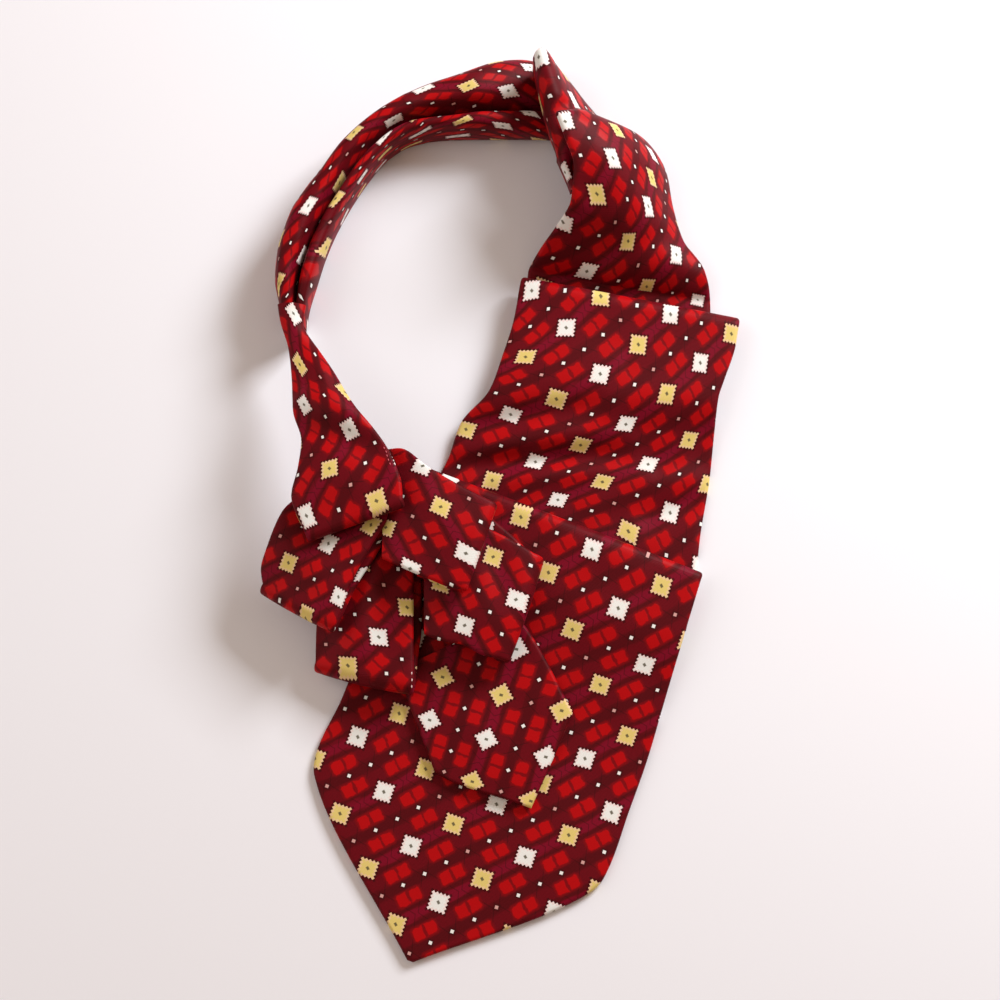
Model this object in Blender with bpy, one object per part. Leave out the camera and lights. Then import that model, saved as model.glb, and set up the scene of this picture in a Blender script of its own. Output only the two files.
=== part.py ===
"""A silk cravat made from one necktie, laid flat on a table.

The tie is one long folded strip of cloth. Each stretch of it that shows is a
wall of its own, worked out from a short table of sections. A row of a table
gives the left and right edge of the strip at one section, in millimetres on
the table top, the height of the strip's middle layer there, and how far the
strip bows out between its edges. Rows run along the strip.
"""

import math
from collections import namedtuple

import bmesh
import bpy
import numpy as np
from mathutils.bvhtree import BVHTree

MM = 0.001

# Cloth: one stretch of tie is silk, interlining and silk.
CLOTH = 2.4
SEAM_GAP = 0.3
LAYER = CLOTH + SEAM_GAP
ON_TABLE = CLOTH / 2.0
SECOND = ON_TABLE + LAYER
THIRD = ON_TABLE + 2.0 * LAYER

# How finely the strips are divided.
RING_STEP = 7.0
ACROSS_STEP = 7.5
FOLD_STEPS = 5
RIM = (0.0, 0.35, 1.0)
WIDEST_RIM = 0.3

# Clear of a strip's rounded ends, in rims: no ring nearer than this.
CLEAR_OF_START = 1.6
CLEAR_OF_FINISH = 0.6
DROP_FROM = 60.0

# An underside this near the table lies flat on it.
TABLE_CONTACT = 0.55

# Middle of the whole layout on the table, which becomes the origin.
MIDDLE_X = 1.3
MIDDLE_Y = 1.6

# Columns of a strip's table: left edge x, y, z, right edge x, y, z, and bow.
LEFT = slice(0, 3)
RIGHT = slice(3, 6)
BOW = 6

# Wide blade, from its tip up to the fold at its top.
FRONT_BLADE = (
    (-28.3, -144.7, ON_TABLE, -26.5, -145.4, ON_TABLE, 0.0),
    (-56.8, -91.4, ON_TABLE, 28.2, -124.0, ON_TABLE, 0.3),
    (-57.9, -86.5, ON_TABLE, 31.9, -120.0, ON_TABLE, 0.4),
    (-49.1, -63.3, ON_TABLE, 40.3, -98.5, ON_TABLE, 0.5),
    (-43.3, -47.8, 1.5, 46.0, -83.0, 1.4, 0.7),
    (-36.2, -29.0, 3.2, 51.8, -64.0, 3.0, 0.8),
    (-30.3, -10.8, 6.4, 57.6, -45.2, 6.2, 0.8),
    (-24.4, 7.0, THIRD, 63.2, -27.5, THIRD, 1.0),
)

# Layer hidden between the wide blade and the pleat below it.
UPPER_LAYERS = (
    (-28.2, -7.4, SECOND, 57.4, -40.8, SECOND, 0.0),
    (-26.4, -2.4, SECOND, 59.6, -36.2, SECOND, 0.0),
)

# Second pleat, from under the wide blade up to the fold at its top.
UPPER_PLEAT = (
    (-27.4, -9.0, ON_TABLE, 58.6, -42.8, ON_TABLE, 0.0),
    (-24.6, -2.0, ON_TABLE, 61.6, -30.0, ON_TABLE, 0.0),
    (-20.2, 6.3, ON_TABLE, 63.7, -12.5, ON_TABLE, 0.0),
    (-16.6, 13.5, 1.3, 67.2, 6.9, ON_TABLE, 0.2),
    (-12.6, 24.6, 3.6, 68.6, 19.6, 2.8, 1.2),
    (-3.5, 34.4, 6.2, 69.9, 31.4, 6.0, 1.2),
    (0.6, 45.4, THIRD, 72.6, 39.7, THIRD, 0.6),
    (4.5, 58.3, THIRD, 75.7, 48.5, THIRD, 0.4),
    (6.4, 69.8, THIRD, 77.0, 55.8, THIRD, 0.6),
)

# Layer hidden between the second pleat and the shoulder's hidden end.
LOWER_LAYERS = (
    (7.0, 37.5, SECOND, 67.5, 36.0, SECOND, 0.0),
    (9.0, 56.5, SECOND, 70.0, 45.0, SECOND, 0.0),
)

# Shoulder, from its end under the second pleat, up and over in a twist.
SHOULDER = (
    (8.0, 38.0, ON_TABLE, 66.0, 36.5, ON_TABLE, 0.0),
    (8.3, 57.0, ON_TABLE, 68.6, 50.5, ON_TABLE, 0.0),
    (9.0, 73.5, 1.3, 68.4, 62.5, 1.3, 0.4),
    (13.4, 80.6, 6.8, 66.5, 73.6, 3.0, 2.4),
    (18.5, 87.0, 18.0, 60.0, 84.9, 4.2, 5.0),
    (22.5, 91.5, 27.0, 56.5, 96.7, 5.2, 6.5),
    (21.6, 101.2, 31.8, 53.5, 109.4, 7.0, 6.8),
    (19.7, 109.2, 34.2, 44.5, 118.6, 13.5, 5.2),
    (18.2, 116.4, 35.4, 30.8, 121.6, 25.0, 2.0),
)

# Neck turn: the steep end of the neck band that runs in under the shoulder.
NECK_TURN = (
    (10.4, 145.2, 23.6, 22.0, 94.6, 22.4, 2.6),
    (12.6, 145.8, 17.6, 28.4, 98.0, 20.0, 2.4),
    (14.8, 147.8, 8.4, 34.4, 103.6, 11.0, 1.8),
    (16.0, 148.4, ON_TABLE, 37.4, 107.0, ON_TABLE, 0.8),
)

# Left stretch of the neck, from the pinch down over the rosette to its fold.
LEFT_NECK = (
    (-69.6, 54.7, 15.0, -63.2, 53.3, 15.0, 0.0),
    (-66.9, 44.9, 17.6, -58.0, 44.3, 18.0, 1.2),
    (-65.4, 34.0, 21.0, -51.2, 33.6, 22.4, 1.8),
    (-64.5, 22.4, 23.6, -44.6, 22.0, 25.6, 1.8),
    (-61.8, 12.4, 24.6, -36.4, 12.4, 26.6, 1.6),
    (-62.8, 3.7, 24.4, -32.8, 4.3, 26.4, 1.2),
    (-64.6, -4.8, 24.6, -31.4, -1.6, 26.2, 0.7),
    (-60.2, -16.2, 24.4, -31.6, -4.8, 26.2, 0.3),
)

# Rosette loops, each from the stitched middle out to its fold.
PLEAT_LEFT = (
    (-63.6, -4.0, 18.8, -35.6, -3.0, 19.4, 0.0),
    (-67.6, -8.0, 18.8, -34.8, -9.0, 19.4, 0.5),
    (-71.9, -17.7, 17.4, -39.4, -18.7, 19.2, 0.8),
    (-74.3, -26.0, 15.6, -45.3, -29.6, 18.4, 1.0),
    (-73.6, -30.2, 14.2, -50.2, -43.6, 17.8, 1.0),
)
PLEAT_RIGHT = (
    (-31.6, 12.6, 20.4, -36.2, -24.0, 20.2, 0.0),
    (-22.2, 5.4, 20.6, -22.1, -30.2, 20.4, 0.6),
    (-12.2, -0.6, 20.6, -14.9, -33.0, 20.3, 0.8),
    (-3.0, -5.2, 20.2, -12.8, -33.2, 20.0, 1.0),
)
PLEAT_UNDER = (
    (-23.6, -3.4, 13.6, -23.4, -46.2, 13.0, 0.0),
    (-15.7, -7.4, 14.0, -18.8, -48.2, 13.4, 0.6),
    (-2.8, -13.2, 14.4, -11.4, -49.6, 13.6, 0.9),
    (6.3, -17.9, 14.2, -5.0, -53.0, 13.6, 1.0),
    (10.6, -20.6, 13.8, -0.6, -53.8, 13.2, 1.0),
)
PLEAT_LOWER = (
    (-55.4, -24.0, 10.6, -27.0, -24.6, 12.0, 0.0),
    (-56.8, -34.7, 10.5, -26.9, -35.1, 11.2, 0.4),
    (-57.4, -45.8, 10.1, -26.8, -47.5, 11.0, 0.8),
    (-57.4, -53.6, 9.8, -26.4, -61.6, 10.9, 0.9),
)

# Narrow blade, from under the rosette down to its tip.
TAIL_BLADE = (
    (-31.6, -55.6, 4.2, 4.8, -39.0, 6.2, 0.0),
    (-30.8, -59.0, 4.0, 7.6, -42.0, 6.4, 0.2),
    (-28.3, -66.7, 4.0, 14.4, -53.0, 5.4, 0.4),
    (-23.4, -79.4, 3.95, 20.4, -65.0, 4.2, 0.4),
    (-21.2, -85.0, 3.95, 22.6, -69.4, 4.0, 0.4),
    (-20.2, -87.4, 3.95, 21.6, -72.0, 4.0, 0.4),
    (8.0, -98.4, 3.95, 9.6, -99.0, 3.95, 0.0),
)

# Neck band: two soft rolls side by side with a deep valley between them.
# Outer edge, valley and inner edge on the table top, and the three heights.
NECK_COLUMNS = ("ox", "oy", "vx", "vy", "ix", "iy", "outer", "valley", "inner")
NECK_BAND = (
    (9.8, 147.6, 13.2, 131.0, 16.6, 121.9, 21.5, 9.0, 17.0),
    (0.0, 146.4, 3.3, 129.8, 5.0, 121.8, 20.0, 8.0, 16.5),
    (-13.1, 141.1, -8.4, 128.4, -8.0, 121.8, 20.0, 8.0, 16.5),
    (-26.2, 136.1, -20.6, 126.8, -20.0, 121.5, 20.0, 8.0, 16.5),
    (-37.6, 129.4, -31.0, 124.0, -29.0, 119.8, 20.0, 8.5, 16.5),
    (-47.6, 121.4, -39.6, 118.0, -36.6, 115.0, 20.0, 9.0, 17.0),
    (-56.9, 110.9, -46.9, 109.8, -42.6, 107.4, 20.0, 9.0, 17.5),
    (-63.8, 99.8, -53.2, 99.8, -48.2, 98.4, 20.0, 9.0, 17.5),
    (-68.8, 89.5, -58.6, 89.6, -53.4, 88.0, 20.0, 9.5, 17.5),
    (-71.9, 79.6, -62.2, 80.2, -56.9, 78.6, 20.0, 10.5, 18.0),
    (-72.6, 70.1, -64.8, 70.1, -59.2, 70.4, 19.5, 12.0, 18.5),
    (-71.3, 62.6, -65.6, 62.0, -61.6, 62.0, 19.0, 14.5, 18.5),
    (-70.2, 55.4, -66.2, 54.9, -62.6, 54.4, 18.0, 17.0, 18.0),
)
NECK_SIDE_POINTS = 4
NECK_TOP_POINTS = 3
ROLL_FULLNESS = 0.62

# Stitched middle of the rosette, where the hidden layers gather.
CORE_X = -33.8
CORE_Y = -3.5
CORE_LENGTH = 30.0
CORE_WIDTH = 17.0
CORE_LOW = 7.9
CORE_HIGH = 14.0
CORE_SIDES = 20
CORE_RINGS = ((0.0, 0.62), (0.18, 0.9), (0.5, 1.0), (0.82, 0.9), (1.0, 0.62))

# Loop depth, from its upper layer to its lower one, and how far the lower
# layer shows past the upper one at the side, in x and y.
LOOP_DEPTH = 3.6
REAR_SHOWS = 2.4

# Folds: depth from the upper layer to the lower one, length of the lower one,
# its slide in x and y, and how much of the upper layer's bow it follows.
Fold = namedtuple("Fold", "depth back shift follow")
BLADE_FOLD = Fold(LAYER, 9.0, (0.0, 0.0), 1.0)
SHOULDER_FOLD = Fold(LAYER, 4.0, (0.0, 0.0), 1.0)
NECK_FOLD = Fold(LAYER, 5.0, (0.0, 0.0), 1.0)
LEFT_LOOP = Fold(LOOP_DEPTH, 34.0, (REAR_SHOWS, 0.0), 0.0)
RIGHT_FLAP = Fold(LAYER, 20.0, (0.0, 0.0), 1.0)
UNDER_LOOP = Fold(LOOP_DEPTH, 28.0, (0.0, REAR_SHOWS), 0.0)
LOWER_LOOP = Fold(LOOP_DEPTH, 34.0, (REAR_SHOWS, 0.0), 0.0)

SILK_COLOUR = (0.16, 0.012, 0.02, 1.0)
SHADE_COLOUR = (0.09, 0.008, 0.012, 1.0)
SILK_ROUGHNESS = 0.48


def monotone(knots, values, at):
    """Smooth curve through the knots that never overshoots between them."""
    knots = np.asarray(knots, float)
    values = np.asarray(values, float)
    spans = np.diff(knots)
    slopes = np.diff(values, axis=0) / spans[:, None]
    tangents = np.zeros_like(values)
    tangents[0] = slopes[0]
    tangents[-1] = slopes[-1]
    for k in range(1, len(knots) - 1):
        before, after = slopes[k - 1], slopes[k]
        same_way = before * after > 0.0
        safe = np.where(same_way, before + after, 1.0)
        tangents[k] = np.where(same_way, 2.0 * before * after / safe, 0.0)
    at = np.clip(np.asarray(at, float), knots[0], knots[-1])
    cell = np.clip(np.searchsorted(knots, at, side="right") - 1, 0, len(spans) - 1)
    width = spans[cell][:, None]
    part = ((at - knots[cell]) / spans[cell])[:, None]
    square, cube = part ** 2, part ** 3
    return (
        (2.0 * cube - 3.0 * square + 1.0) * values[cell]
        + (cube - 2.0 * square + part) * width * tangents[cell]
        + (3.0 * square - 2.0 * cube) * values[cell + 1]
        + (cube - square) * width * tangents[cell + 1]
    )


def stations(knots, rim, both_ends):
    """Distances along a strip: every row of its table, and close by each rounded end."""
    last = knots[-1] - rim if both_ends else knots[-1]
    places = [rim * part for part in RIM]
    for near, far in zip(knots, knots[1:]):
        count = max(1, round((far - near) / RING_STEP))
        places += [near + (far - near) * k / count for k in range(1, count + 1)]
    first, final = rim * CLEAR_OF_START, last - rim * CLEAR_OF_FINISH
    places = [place for place in places if place <= rim or first < place < final]
    finish = [knots[-1] - rim * part for part in reversed(RIM)] if both_ends else [last]
    return places + finish


def section_rings(table, folded, rim):
    """Left edge, right edge and bow at each ring of a strip."""
    rows = np.array(table, float)
    middle = (rows[:, LEFT] + rows[:, RIGHT]) / 2.0
    travel = np.linalg.norm(np.diff(middle, axis=0), axis=1)
    knots = np.concatenate([[0.0], np.cumsum(travel)])
    places = stations(knots, rim, not folded)
    return knots, rows, monotone(knots, rows, places)


def turn_under(knots, rows, rings, fold, rim):
    """Carry the strip round a fold at its far end and back beneath itself."""
    depth, back, shift, follow = fold
    last = rings[-1]
    across = last[RIGHT] - last[LEFT]
    outward = (rings[-1][LEFT] + rings[-1][RIGHT]) - (rings[-2][LEFT] + rings[-2][RIGHT])
    outward -= across * outward.dot(across) / across.dot(across)
    outward[2] = 0.0
    outward /= np.linalg.norm(outward)
    radius = depth / 2.0
    back = min(back, knots[-1])
    turned = []
    for k in range(1, FOLD_STEPS):
        angle = math.pi * k / FOLD_STEPS
        move = outward * radius * math.sin(angle)
        move = move + np.array((0.0, 0.0, -radius * (1.0 - math.cos(angle))))
        ring = last.copy()
        ring[LEFT] += move
        ring[RIGHT] += move
        ring[BOW] *= 1.0 - (1.0 + follow) * k / FOLD_STEPS
        turned.append(ring)
    count = max(1, round((back - rim) / RING_STEP))
    places = [(back - rim) * k / count for k in range(count + 1)]
    places += [back - rim * part for part in reversed(RIM[:-1])]
    behind = monotone(knots, rows, [knots[-1] - place for place in places])
    for place, ring in zip(places, behind):
        slide = min(1.0, place / (2.0 * RING_STEP))
        move = np.array((shift[0] * slide, shift[1] * slide, -depth))
        ring[LEFT] += move
        ring[RIGHT] += move
        ring[BOW] *= -follow
        turned.append(ring)
    return np.vstack([rings, np.array(turned)])


def across_parts(width, count, rim):
    """Fractions across a strip, closer together at its rounded edges."""
    edge = min(rim / width, WIDEST_RIM)
    start = [edge * part for part in RIM]
    inner = [edge + (1.0 - 2.0 * edge) * k / count for k in range(1, count + 1)]
    finish = [1.0 - edge * part for part in reversed(RIM[:-1])]
    return np.array(start + inner + finish)


def middle_layer(rings, count, rim):
    """Grid of points on the strip's middle layer, and distance to each edge."""
    left, right, bow = rings[:, LEFT], rings[:, RIGHT], rings[:, BOW]
    widths = np.linalg.norm(right - left, axis=1)
    parts = np.array([across_parts(width, count, rim) for width in widths])
    grid = left[:, None, :] + (right - left)[:, None, :] * parts[:, :, None]
    along = np.gradient(grid, axis=0)
    over = np.gradient(grid, axis=1)
    normal = np.cross(over, along)
    normal /= np.linalg.norm(normal, axis=2, keepdims=True)
    upward = 1.0 if normal[0, :, 2].mean() > 0.0 else -1.0
    arch = 4.0 * parts * (1.0 - parts) * bow[:, None] * upward
    grid = grid + normal * arch[:, :, None]
    side = np.minimum(parts, 1.0 - parts) * widths[:, None]
    middle = grid[:, grid.shape[1] // 2]
    run = np.concatenate([[0.0], np.cumsum(np.linalg.norm(np.diff(middle, axis=0), axis=1))])
    end = np.minimum(run, run[-1] - run)
    return grid, side, end


def rounding(distance, rim):
    """Share of the full half thickness at a distance in from a rounded edge."""
    inset = 1.0 - np.clip(distance, 0.0, rim) / rim
    return np.sqrt(np.clip(1.0 - inset ** 2, 0.0, 1.0))


def wall_mesh(grid, side, end, thickness):
    """Closed wall round the middle layer, with all its edges rounded."""
    half = thickness / 2.0
    along = np.gradient(grid, axis=0)
    over = np.gradient(grid, axis=1)
    normal = np.cross(over, along)
    normal /= np.linalg.norm(normal, axis=2, keepdims=True)
    offset = half * rounding(side, half) * rounding(end, half)[:, None]
    upper = grid + normal * offset[:, :, None]
    lower = grid - normal * offset[:, :, None]
    upper[..., 2] = np.maximum(upper[..., 2], 0.0)
    lower[..., 2] = np.where(lower[..., 2] < TABLE_CONTACT, 0.0, lower[..., 2])
    rows, columns = grid.shape[:2]
    mesh = bmesh.new()
    top = [[mesh.verts.new(upper[i, j] * MM) for j in range(columns)] for i in range(rows)]
    base = [list(line) for line in top]
    for i in range(1, rows - 1):
        for j in range(1, columns - 1):
            base[i][j] = mesh.verts.new(lower[i, j] * MM)
    for i in range(rows - 1):
        for j in range(columns - 1):
            mesh.faces.new((top[i][j], top[i][j + 1], top[i + 1][j + 1], top[i + 1][j]))
            mesh.faces.new((base[i][j], base[i + 1][j], base[i + 1][j + 1], base[i][j + 1]))
    return mesh


def silk(name, colour):
    """Matt satin silk."""
    material = bpy.data.materials.new(name)
    material.use_nodes = True
    shader = material.node_tree.nodes["Principled BSDF"]
    shader.inputs["Base Color"].default_value = colour
    shader.inputs["Roughness"].default_value = SILK_ROUGHNESS
    shader.inputs["Metallic"].default_value = 0.0
    return material


def finish_object(name, mesh, material):
    """Turn a bmesh into a named object about the layout's middle."""
    bmesh.ops.translate(mesh, verts=mesh.verts, vec=(-MIDDLE_X * MM, -MIDDLE_Y * MM, 0.0))
    bmesh.ops.recalc_face_normals(mesh, faces=mesh.faces)
    if mesh.calc_volume(signed=True) < 0.0:
        bmesh.ops.reverse_faces(mesh, faces=mesh.faces)
    data = bpy.data.meshes.new(name)
    mesh.to_mesh(data)
    mesh.free()
    data.materials.append(material)
    data.shade_smooth()
    piece = bpy.data.objects.new(name, data)
    bpy.context.scene.collection.objects.link(piece)
    return piece


def lie_on(grid, beneath):
    """Lift a middle layer where the piece beneath it would reach into it."""
    surface = BVHTree.FromObject(beneath, bpy.context.evaluated_depsgraph_get())
    shift = np.array((MIDDLE_X, MIDDLE_Y, 0.0))
    lifted = grid.copy()
    for i, j in np.ndindex(grid.shape[:2]):
        start = (grid[i, j] - shift) * MM
        hit = surface.ray_cast((start[0], start[1], DROP_FROM * MM), (0.0, 0.0, -1.0))[0]
        if hit is not None:
            lifted[i, j, 2] = max(grid[i, j, 2], hit.z / MM + SEAM_GAP + CLOTH / 2.0)
    return lifted


def strip(name, table, material, fold=None, beneath=None):
    """One stretch of the tie, with its far end folded under if fold is given."""
    rim = CLOTH / 2.0
    knots, rows, rings = section_rings(table, fold is not None, rim)
    if fold is not None:
        rings = turn_under(knots, rows, rings, fold, rim)
    widest = np.linalg.norm(rings[:, RIGHT] - rings[:, LEFT], axis=1).max()
    count = max(2, round(widest / ACROSS_STEP))
    grid, side, end = middle_layer(rings, count, rim)
    if beneath is not None:
        grid = lie_on(grid, beneath)
    return finish_object(name, wall_mesh(grid, side, end, CLOTH), material)


def roll_half(edge, centre, low, high, points, downward):
    """Points of one rounded flank of a roll, from its crest or up to it."""
    line = []
    for k in range(points + 1):
        angle = math.pi / 2.0 * k / points
        reach = math.cos(angle) ** ROLL_FULLNESS
        height = low + (high - low) * math.sin(angle)
        line.append((centre + (edge - centre) * reach, height))
    return list(reversed(line)) if downward else line


def neck_section(row):
    """Closed section of the neck band, as points (share from outer to inner, height)."""
    at = dict(zip(NECK_COLUMNS, row))
    outer, valley, inner = at["outer"], at["valley"], at["inner"]
    outer_edge, deep, inner_edge = (np.array((at[side + "x"], at[side + "y"])) for side in "ovi")
    outer_centre = (outer_edge + deep) / 2.0
    inner_centre = (deep + inner_edge) / 2.0
    flank = []
    for k in range(NECK_SIDE_POINTS + 1):
        angle = math.pi * (k / NECK_SIDE_POINTS - 0.5)
        flank.append((max(0.0, math.cos(angle)) ** ROLL_FULLNESS, (1.0 + math.sin(angle)) / 2.0))
    line = [(*(outer_centre + (outer_edge - outer_centre) * reach), outer * rise) for reach, rise in flank]
    down = roll_half(deep, outer_centre, valley, outer, NECK_TOP_POINTS, True)[1:]
    line += [(*place, height) for place, height in down]
    up = roll_half(deep, inner_centre, valley, inner, NECK_TOP_POINTS, False)[1:]
    line += [(*place, height) for place, height in up]
    for reach, rise in list(reversed(flank))[1:]:
        line.append((*(inner_centre + (inner_edge - inner_centre) * reach), inner * rise))
    return [(x, y, 0.0 if z < TABLE_CONTACT else z) for x, y, z in line]


def neck_band(name, material):
    """Neck band: a run of sections joined into one closed body."""
    rows = np.array(NECK_BAND, float)
    valley = NECK_COLUMNS.index("vx")
    middle = rows[:, valley:valley + 2]
    travel = np.linalg.norm(np.diff(middle, axis=0), axis=1)
    knots = np.concatenate([[0.0], np.cumsum(travel)])
    count = round(knots[-1] / RING_STEP)
    sections = monotone(knots, rows, np.linspace(0.0, knots[-1], count + 1))
    mesh = bmesh.new()
    loops = []
    for row in sections:
        loops.append([mesh.verts.new(np.array(point) * MM) for point in neck_section(row)])
    size = len(loops[0])
    for near, far in zip(loops, loops[1:]):
        for k in range(size):
            after = (k + 1) % size
            mesh.faces.new((near[k], near[after], far[after], far[k]))
    mesh.faces.new(loops[0])
    mesh.faces.new(loops[-1])
    bmesh.ops.triangulate(mesh, faces=mesh.faces)
    return finish_object(name, mesh, material)


def rosette_core(name, material):
    """Rounded pad of hidden layers under the rosette's top loops."""
    mesh = bmesh.new()
    loops = []
    for rise, reach in CORE_RINGS:
        height = CORE_LOW + (CORE_HIGH - CORE_LOW) * rise
        loop = []
        for k in range(CORE_SIDES):
            angle = 2.0 * math.pi * k / CORE_SIDES
            x = CORE_X + CORE_WIDTH / 2.0 * reach * math.cos(angle)
            y = CORE_Y + CORE_LENGTH / 2.0 * reach * math.sin(angle)
            loop.append(mesh.verts.new((x * MM, y * MM, height * MM)))
        loops.append(loop)
    for near, far in zip(loops, loops[1:]):
        for k in range(CORE_SIDES):
            after = (k + 1) % CORE_SIDES
            mesh.faces.new((near[k], near[after], far[after], far[k]))
    mesh.faces.new(loops[0])
    mesh.faces.new(loops[-1])
    return finish_object(name, mesh, material)


def main():
    """Build every stretch of the cravat."""
    for old in list(bpy.data.objects):
        bpy.data.objects.remove(old)
    face = silk("silk_face", SILK_COLOUR)
    shade = silk("silk_hidden", SHADE_COLOUR)
    blade = strip("front_blade", FRONT_BLADE, face, BLADE_FOLD)
    strip("upper_layers", UPPER_LAYERS, shade)
    strip("upper_pleat", UPPER_PLEAT, face, BLADE_FOLD)
    strip("lower_layers", LOWER_LAYERS, shade)
    strip("shoulder", SHOULDER, face, SHOULDER_FOLD)
    strip("neck_turn", NECK_TURN, face)
    neck_band("neck_band", face)
    strip("left_neck", LEFT_NECK, face, NECK_FOLD)
    strip("pleat_left", PLEAT_LEFT, face, LEFT_LOOP)
    strip("pleat_right", PLEAT_RIGHT, face, RIGHT_FLAP)
    strip("pleat_under", PLEAT_UNDER, face, UNDER_LOOP)
    strip("pleat_lower", PLEAT_LOWER, face, LOWER_LOOP)
    strip("tail_blade", TAIL_BLADE, face, beneath=blade)
    rosette_core("rosette_core", shade)


main()
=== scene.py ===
"""Looks of a silk cravat made from one necktie, laid flat on a pale table.

The tie is one long folded tube of patterned silk. Every stretch of it that
shows is a thin shell of its own, lofted through a short table of sections on
the form of its CAD solid, with given creases and soft swells. The
woven repeat is worked out from each stretch's own flat cut.
"""

import logging
import math
from dataclasses import dataclass, field
from enum import Enum
from typing import NamedTuple, Optional, Sequence, Union

import bmesh
import bpy
import numpy as np
from mathutils import Matrix, Vector, noise
from mathutils.bvhtree import BVHTree


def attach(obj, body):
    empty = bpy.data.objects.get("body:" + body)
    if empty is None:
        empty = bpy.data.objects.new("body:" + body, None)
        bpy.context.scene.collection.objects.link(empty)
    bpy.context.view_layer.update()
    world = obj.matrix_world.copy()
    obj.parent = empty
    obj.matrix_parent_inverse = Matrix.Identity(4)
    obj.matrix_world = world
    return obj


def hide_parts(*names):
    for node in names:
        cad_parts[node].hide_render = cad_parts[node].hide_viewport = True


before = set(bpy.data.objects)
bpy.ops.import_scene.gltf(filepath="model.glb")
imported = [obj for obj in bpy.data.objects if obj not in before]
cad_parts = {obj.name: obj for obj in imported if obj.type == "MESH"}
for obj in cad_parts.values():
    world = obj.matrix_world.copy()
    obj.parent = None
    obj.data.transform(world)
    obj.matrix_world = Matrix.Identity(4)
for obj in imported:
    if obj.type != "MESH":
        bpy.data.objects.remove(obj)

LOG = logging.getLogger("cravat")
MM = 0.001
BODY = "root"

Socket = bpy.types.NodeSocket
Number = Union[float, Socket]
Colour = tuple[float, float, float]


class Hold(Enum):
    """How a stretch of cloth is held."""

    LAID = "laid"
    FOLDED = "folded"
    GATHERED = "gathered"


class Slot(Enum):
    """Material slots of the record."""

    FACE = "silk"
    INSIDE = "silk_inside"


class Section(NamedTuple):
    """One section of a strip: its two edges, in millimetres, and its bow."""

    left_x: float
    left_y: float
    left_z: float
    right_x: float
    right_y: float
    right_z: float
    bow: float


class RollSection(NamedTuple):
    """One section of the neck band: three lines on the table and three heights."""

    outer_x: float
    outer_y: float
    valley_x: float
    valley_y: float
    inner_x: float
    inner_y: float
    outer_z: float
    valley_z: float
    inner_z: float


class Fold(NamedTuple):
    """A fold at a strip's far end: depth, return length, side slide and how far it keeps the bow."""

    depth: float
    back: float
    slide_x: float
    slide_y: float
    follow: float


class Crease(NamedTuple):
    """A soft ridge (height over 0) or trough (under 0) from one point to another, in millimetres."""

    from_x: float
    from_y: float
    to_x: float
    to_y: float
    height: float
    width: float
    bend: float = 0.0


class Pin(NamedTuple):
    """A stamp or dot of the weave: its pixel in the photograph, its height in millimetres, and its count."""

    pixel_x: float
    pixel_y: float
    height: float
    across: float
    along: float


class Figure(NamedTuple):
    """Where a woven figure ends, how soft its edge is, in millimetres, and how strongly it covers."""

    edge: float
    soft: float
    share: float = 1.0


class Lamp(NamedTuple):
    """A square area lamp: its place and size in metres, its watts and its colour."""

    name: str
    place: tuple[float, float, float]
    size: float
    watts: float
    colour: Colour


@dataclass(frozen=True)
class Cloth:
    """Sizes of the folded cloth and how finely it is divided, in millimetres.

    The rim fields are shares of the half thickness: rings close to a rounded
    end, and how far the evenly spaced rings keep clear of either end.
    """

    thickness: float = 2.4
    gap: float = 0.3
    ring_step: float = 1.6
    across_step: float = 1.7
    fewest_across: int = 4
    fold_steps: int = 10
    slide_over: float = 14.0
    rim: tuple[float, ...] = (0.0, 0.04, 0.15, 0.32, 0.58, 1.0)
    rim_clear_start: float = 1.3
    rim_clear_end: float = 0.3
    widest_rim: float = 0.3
    contact: float = 0.55
    drop_from: float = 60.0
    middle_x: float = 1.3
    middle_y: float = 1.6
    swell: float = 0.22
    swell_size: float = 26.0
    swell_by_height: float = 3.0
    crease_fade: float = 0.7
    soft_to_fold: float = 4.0
    soft_fade_rings: float = 4.0
    lies_below: float = 2.2
    free_over: float = 3.0
    under_share: float = 0.8
    repeat_across: float = 15.1
    repeat_along: float = 19.4

    @property
    def middle(self) -> np.ndarray:
        """Middle of the whole layout on the table, which is the frame's origin."""
        return np.array((self.middle_x, self.middle_y, 0.0))


@dataclass(frozen=True)
class View:
    """How the photograph looks down on the layout, in millimetres and pixels of a square picture."""

    elevation: float = 76.0
    distance: float = 750.0
    pixel: float = 0.32
    pixels: float = 1000.0

    @property
    def back(self) -> np.ndarray:
        """Direction from the layout's middle to the camera."""
        angle = math.radians(self.elevation)
        return np.array((0.0, -math.cos(angle), math.sin(angle)))

    def spot(self, pin: Pin) -> np.ndarray:
        """Place on the layout of a pin: where the ray through its pixel comes down to its height."""
        right = np.array((1.0, 0.0, 0.0))
        up = np.cross(self.back, right)
        across = (pin.pixel_x - self.pixels / 2.0) * self.pixel
        rise = (self.pixels / 2.0 - pin.pixel_y) * self.pixel
        eye = self.back * self.distance
        ray = right * across + up * rise - eye
        return eye + ray * (pin.height - eye[2]) / ray[2]


CLOTH = Cloth()
VIEW = View()

LEFT = slice(0, 3)
RIGHT = slice(3, 6)
BOW = 6


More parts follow.
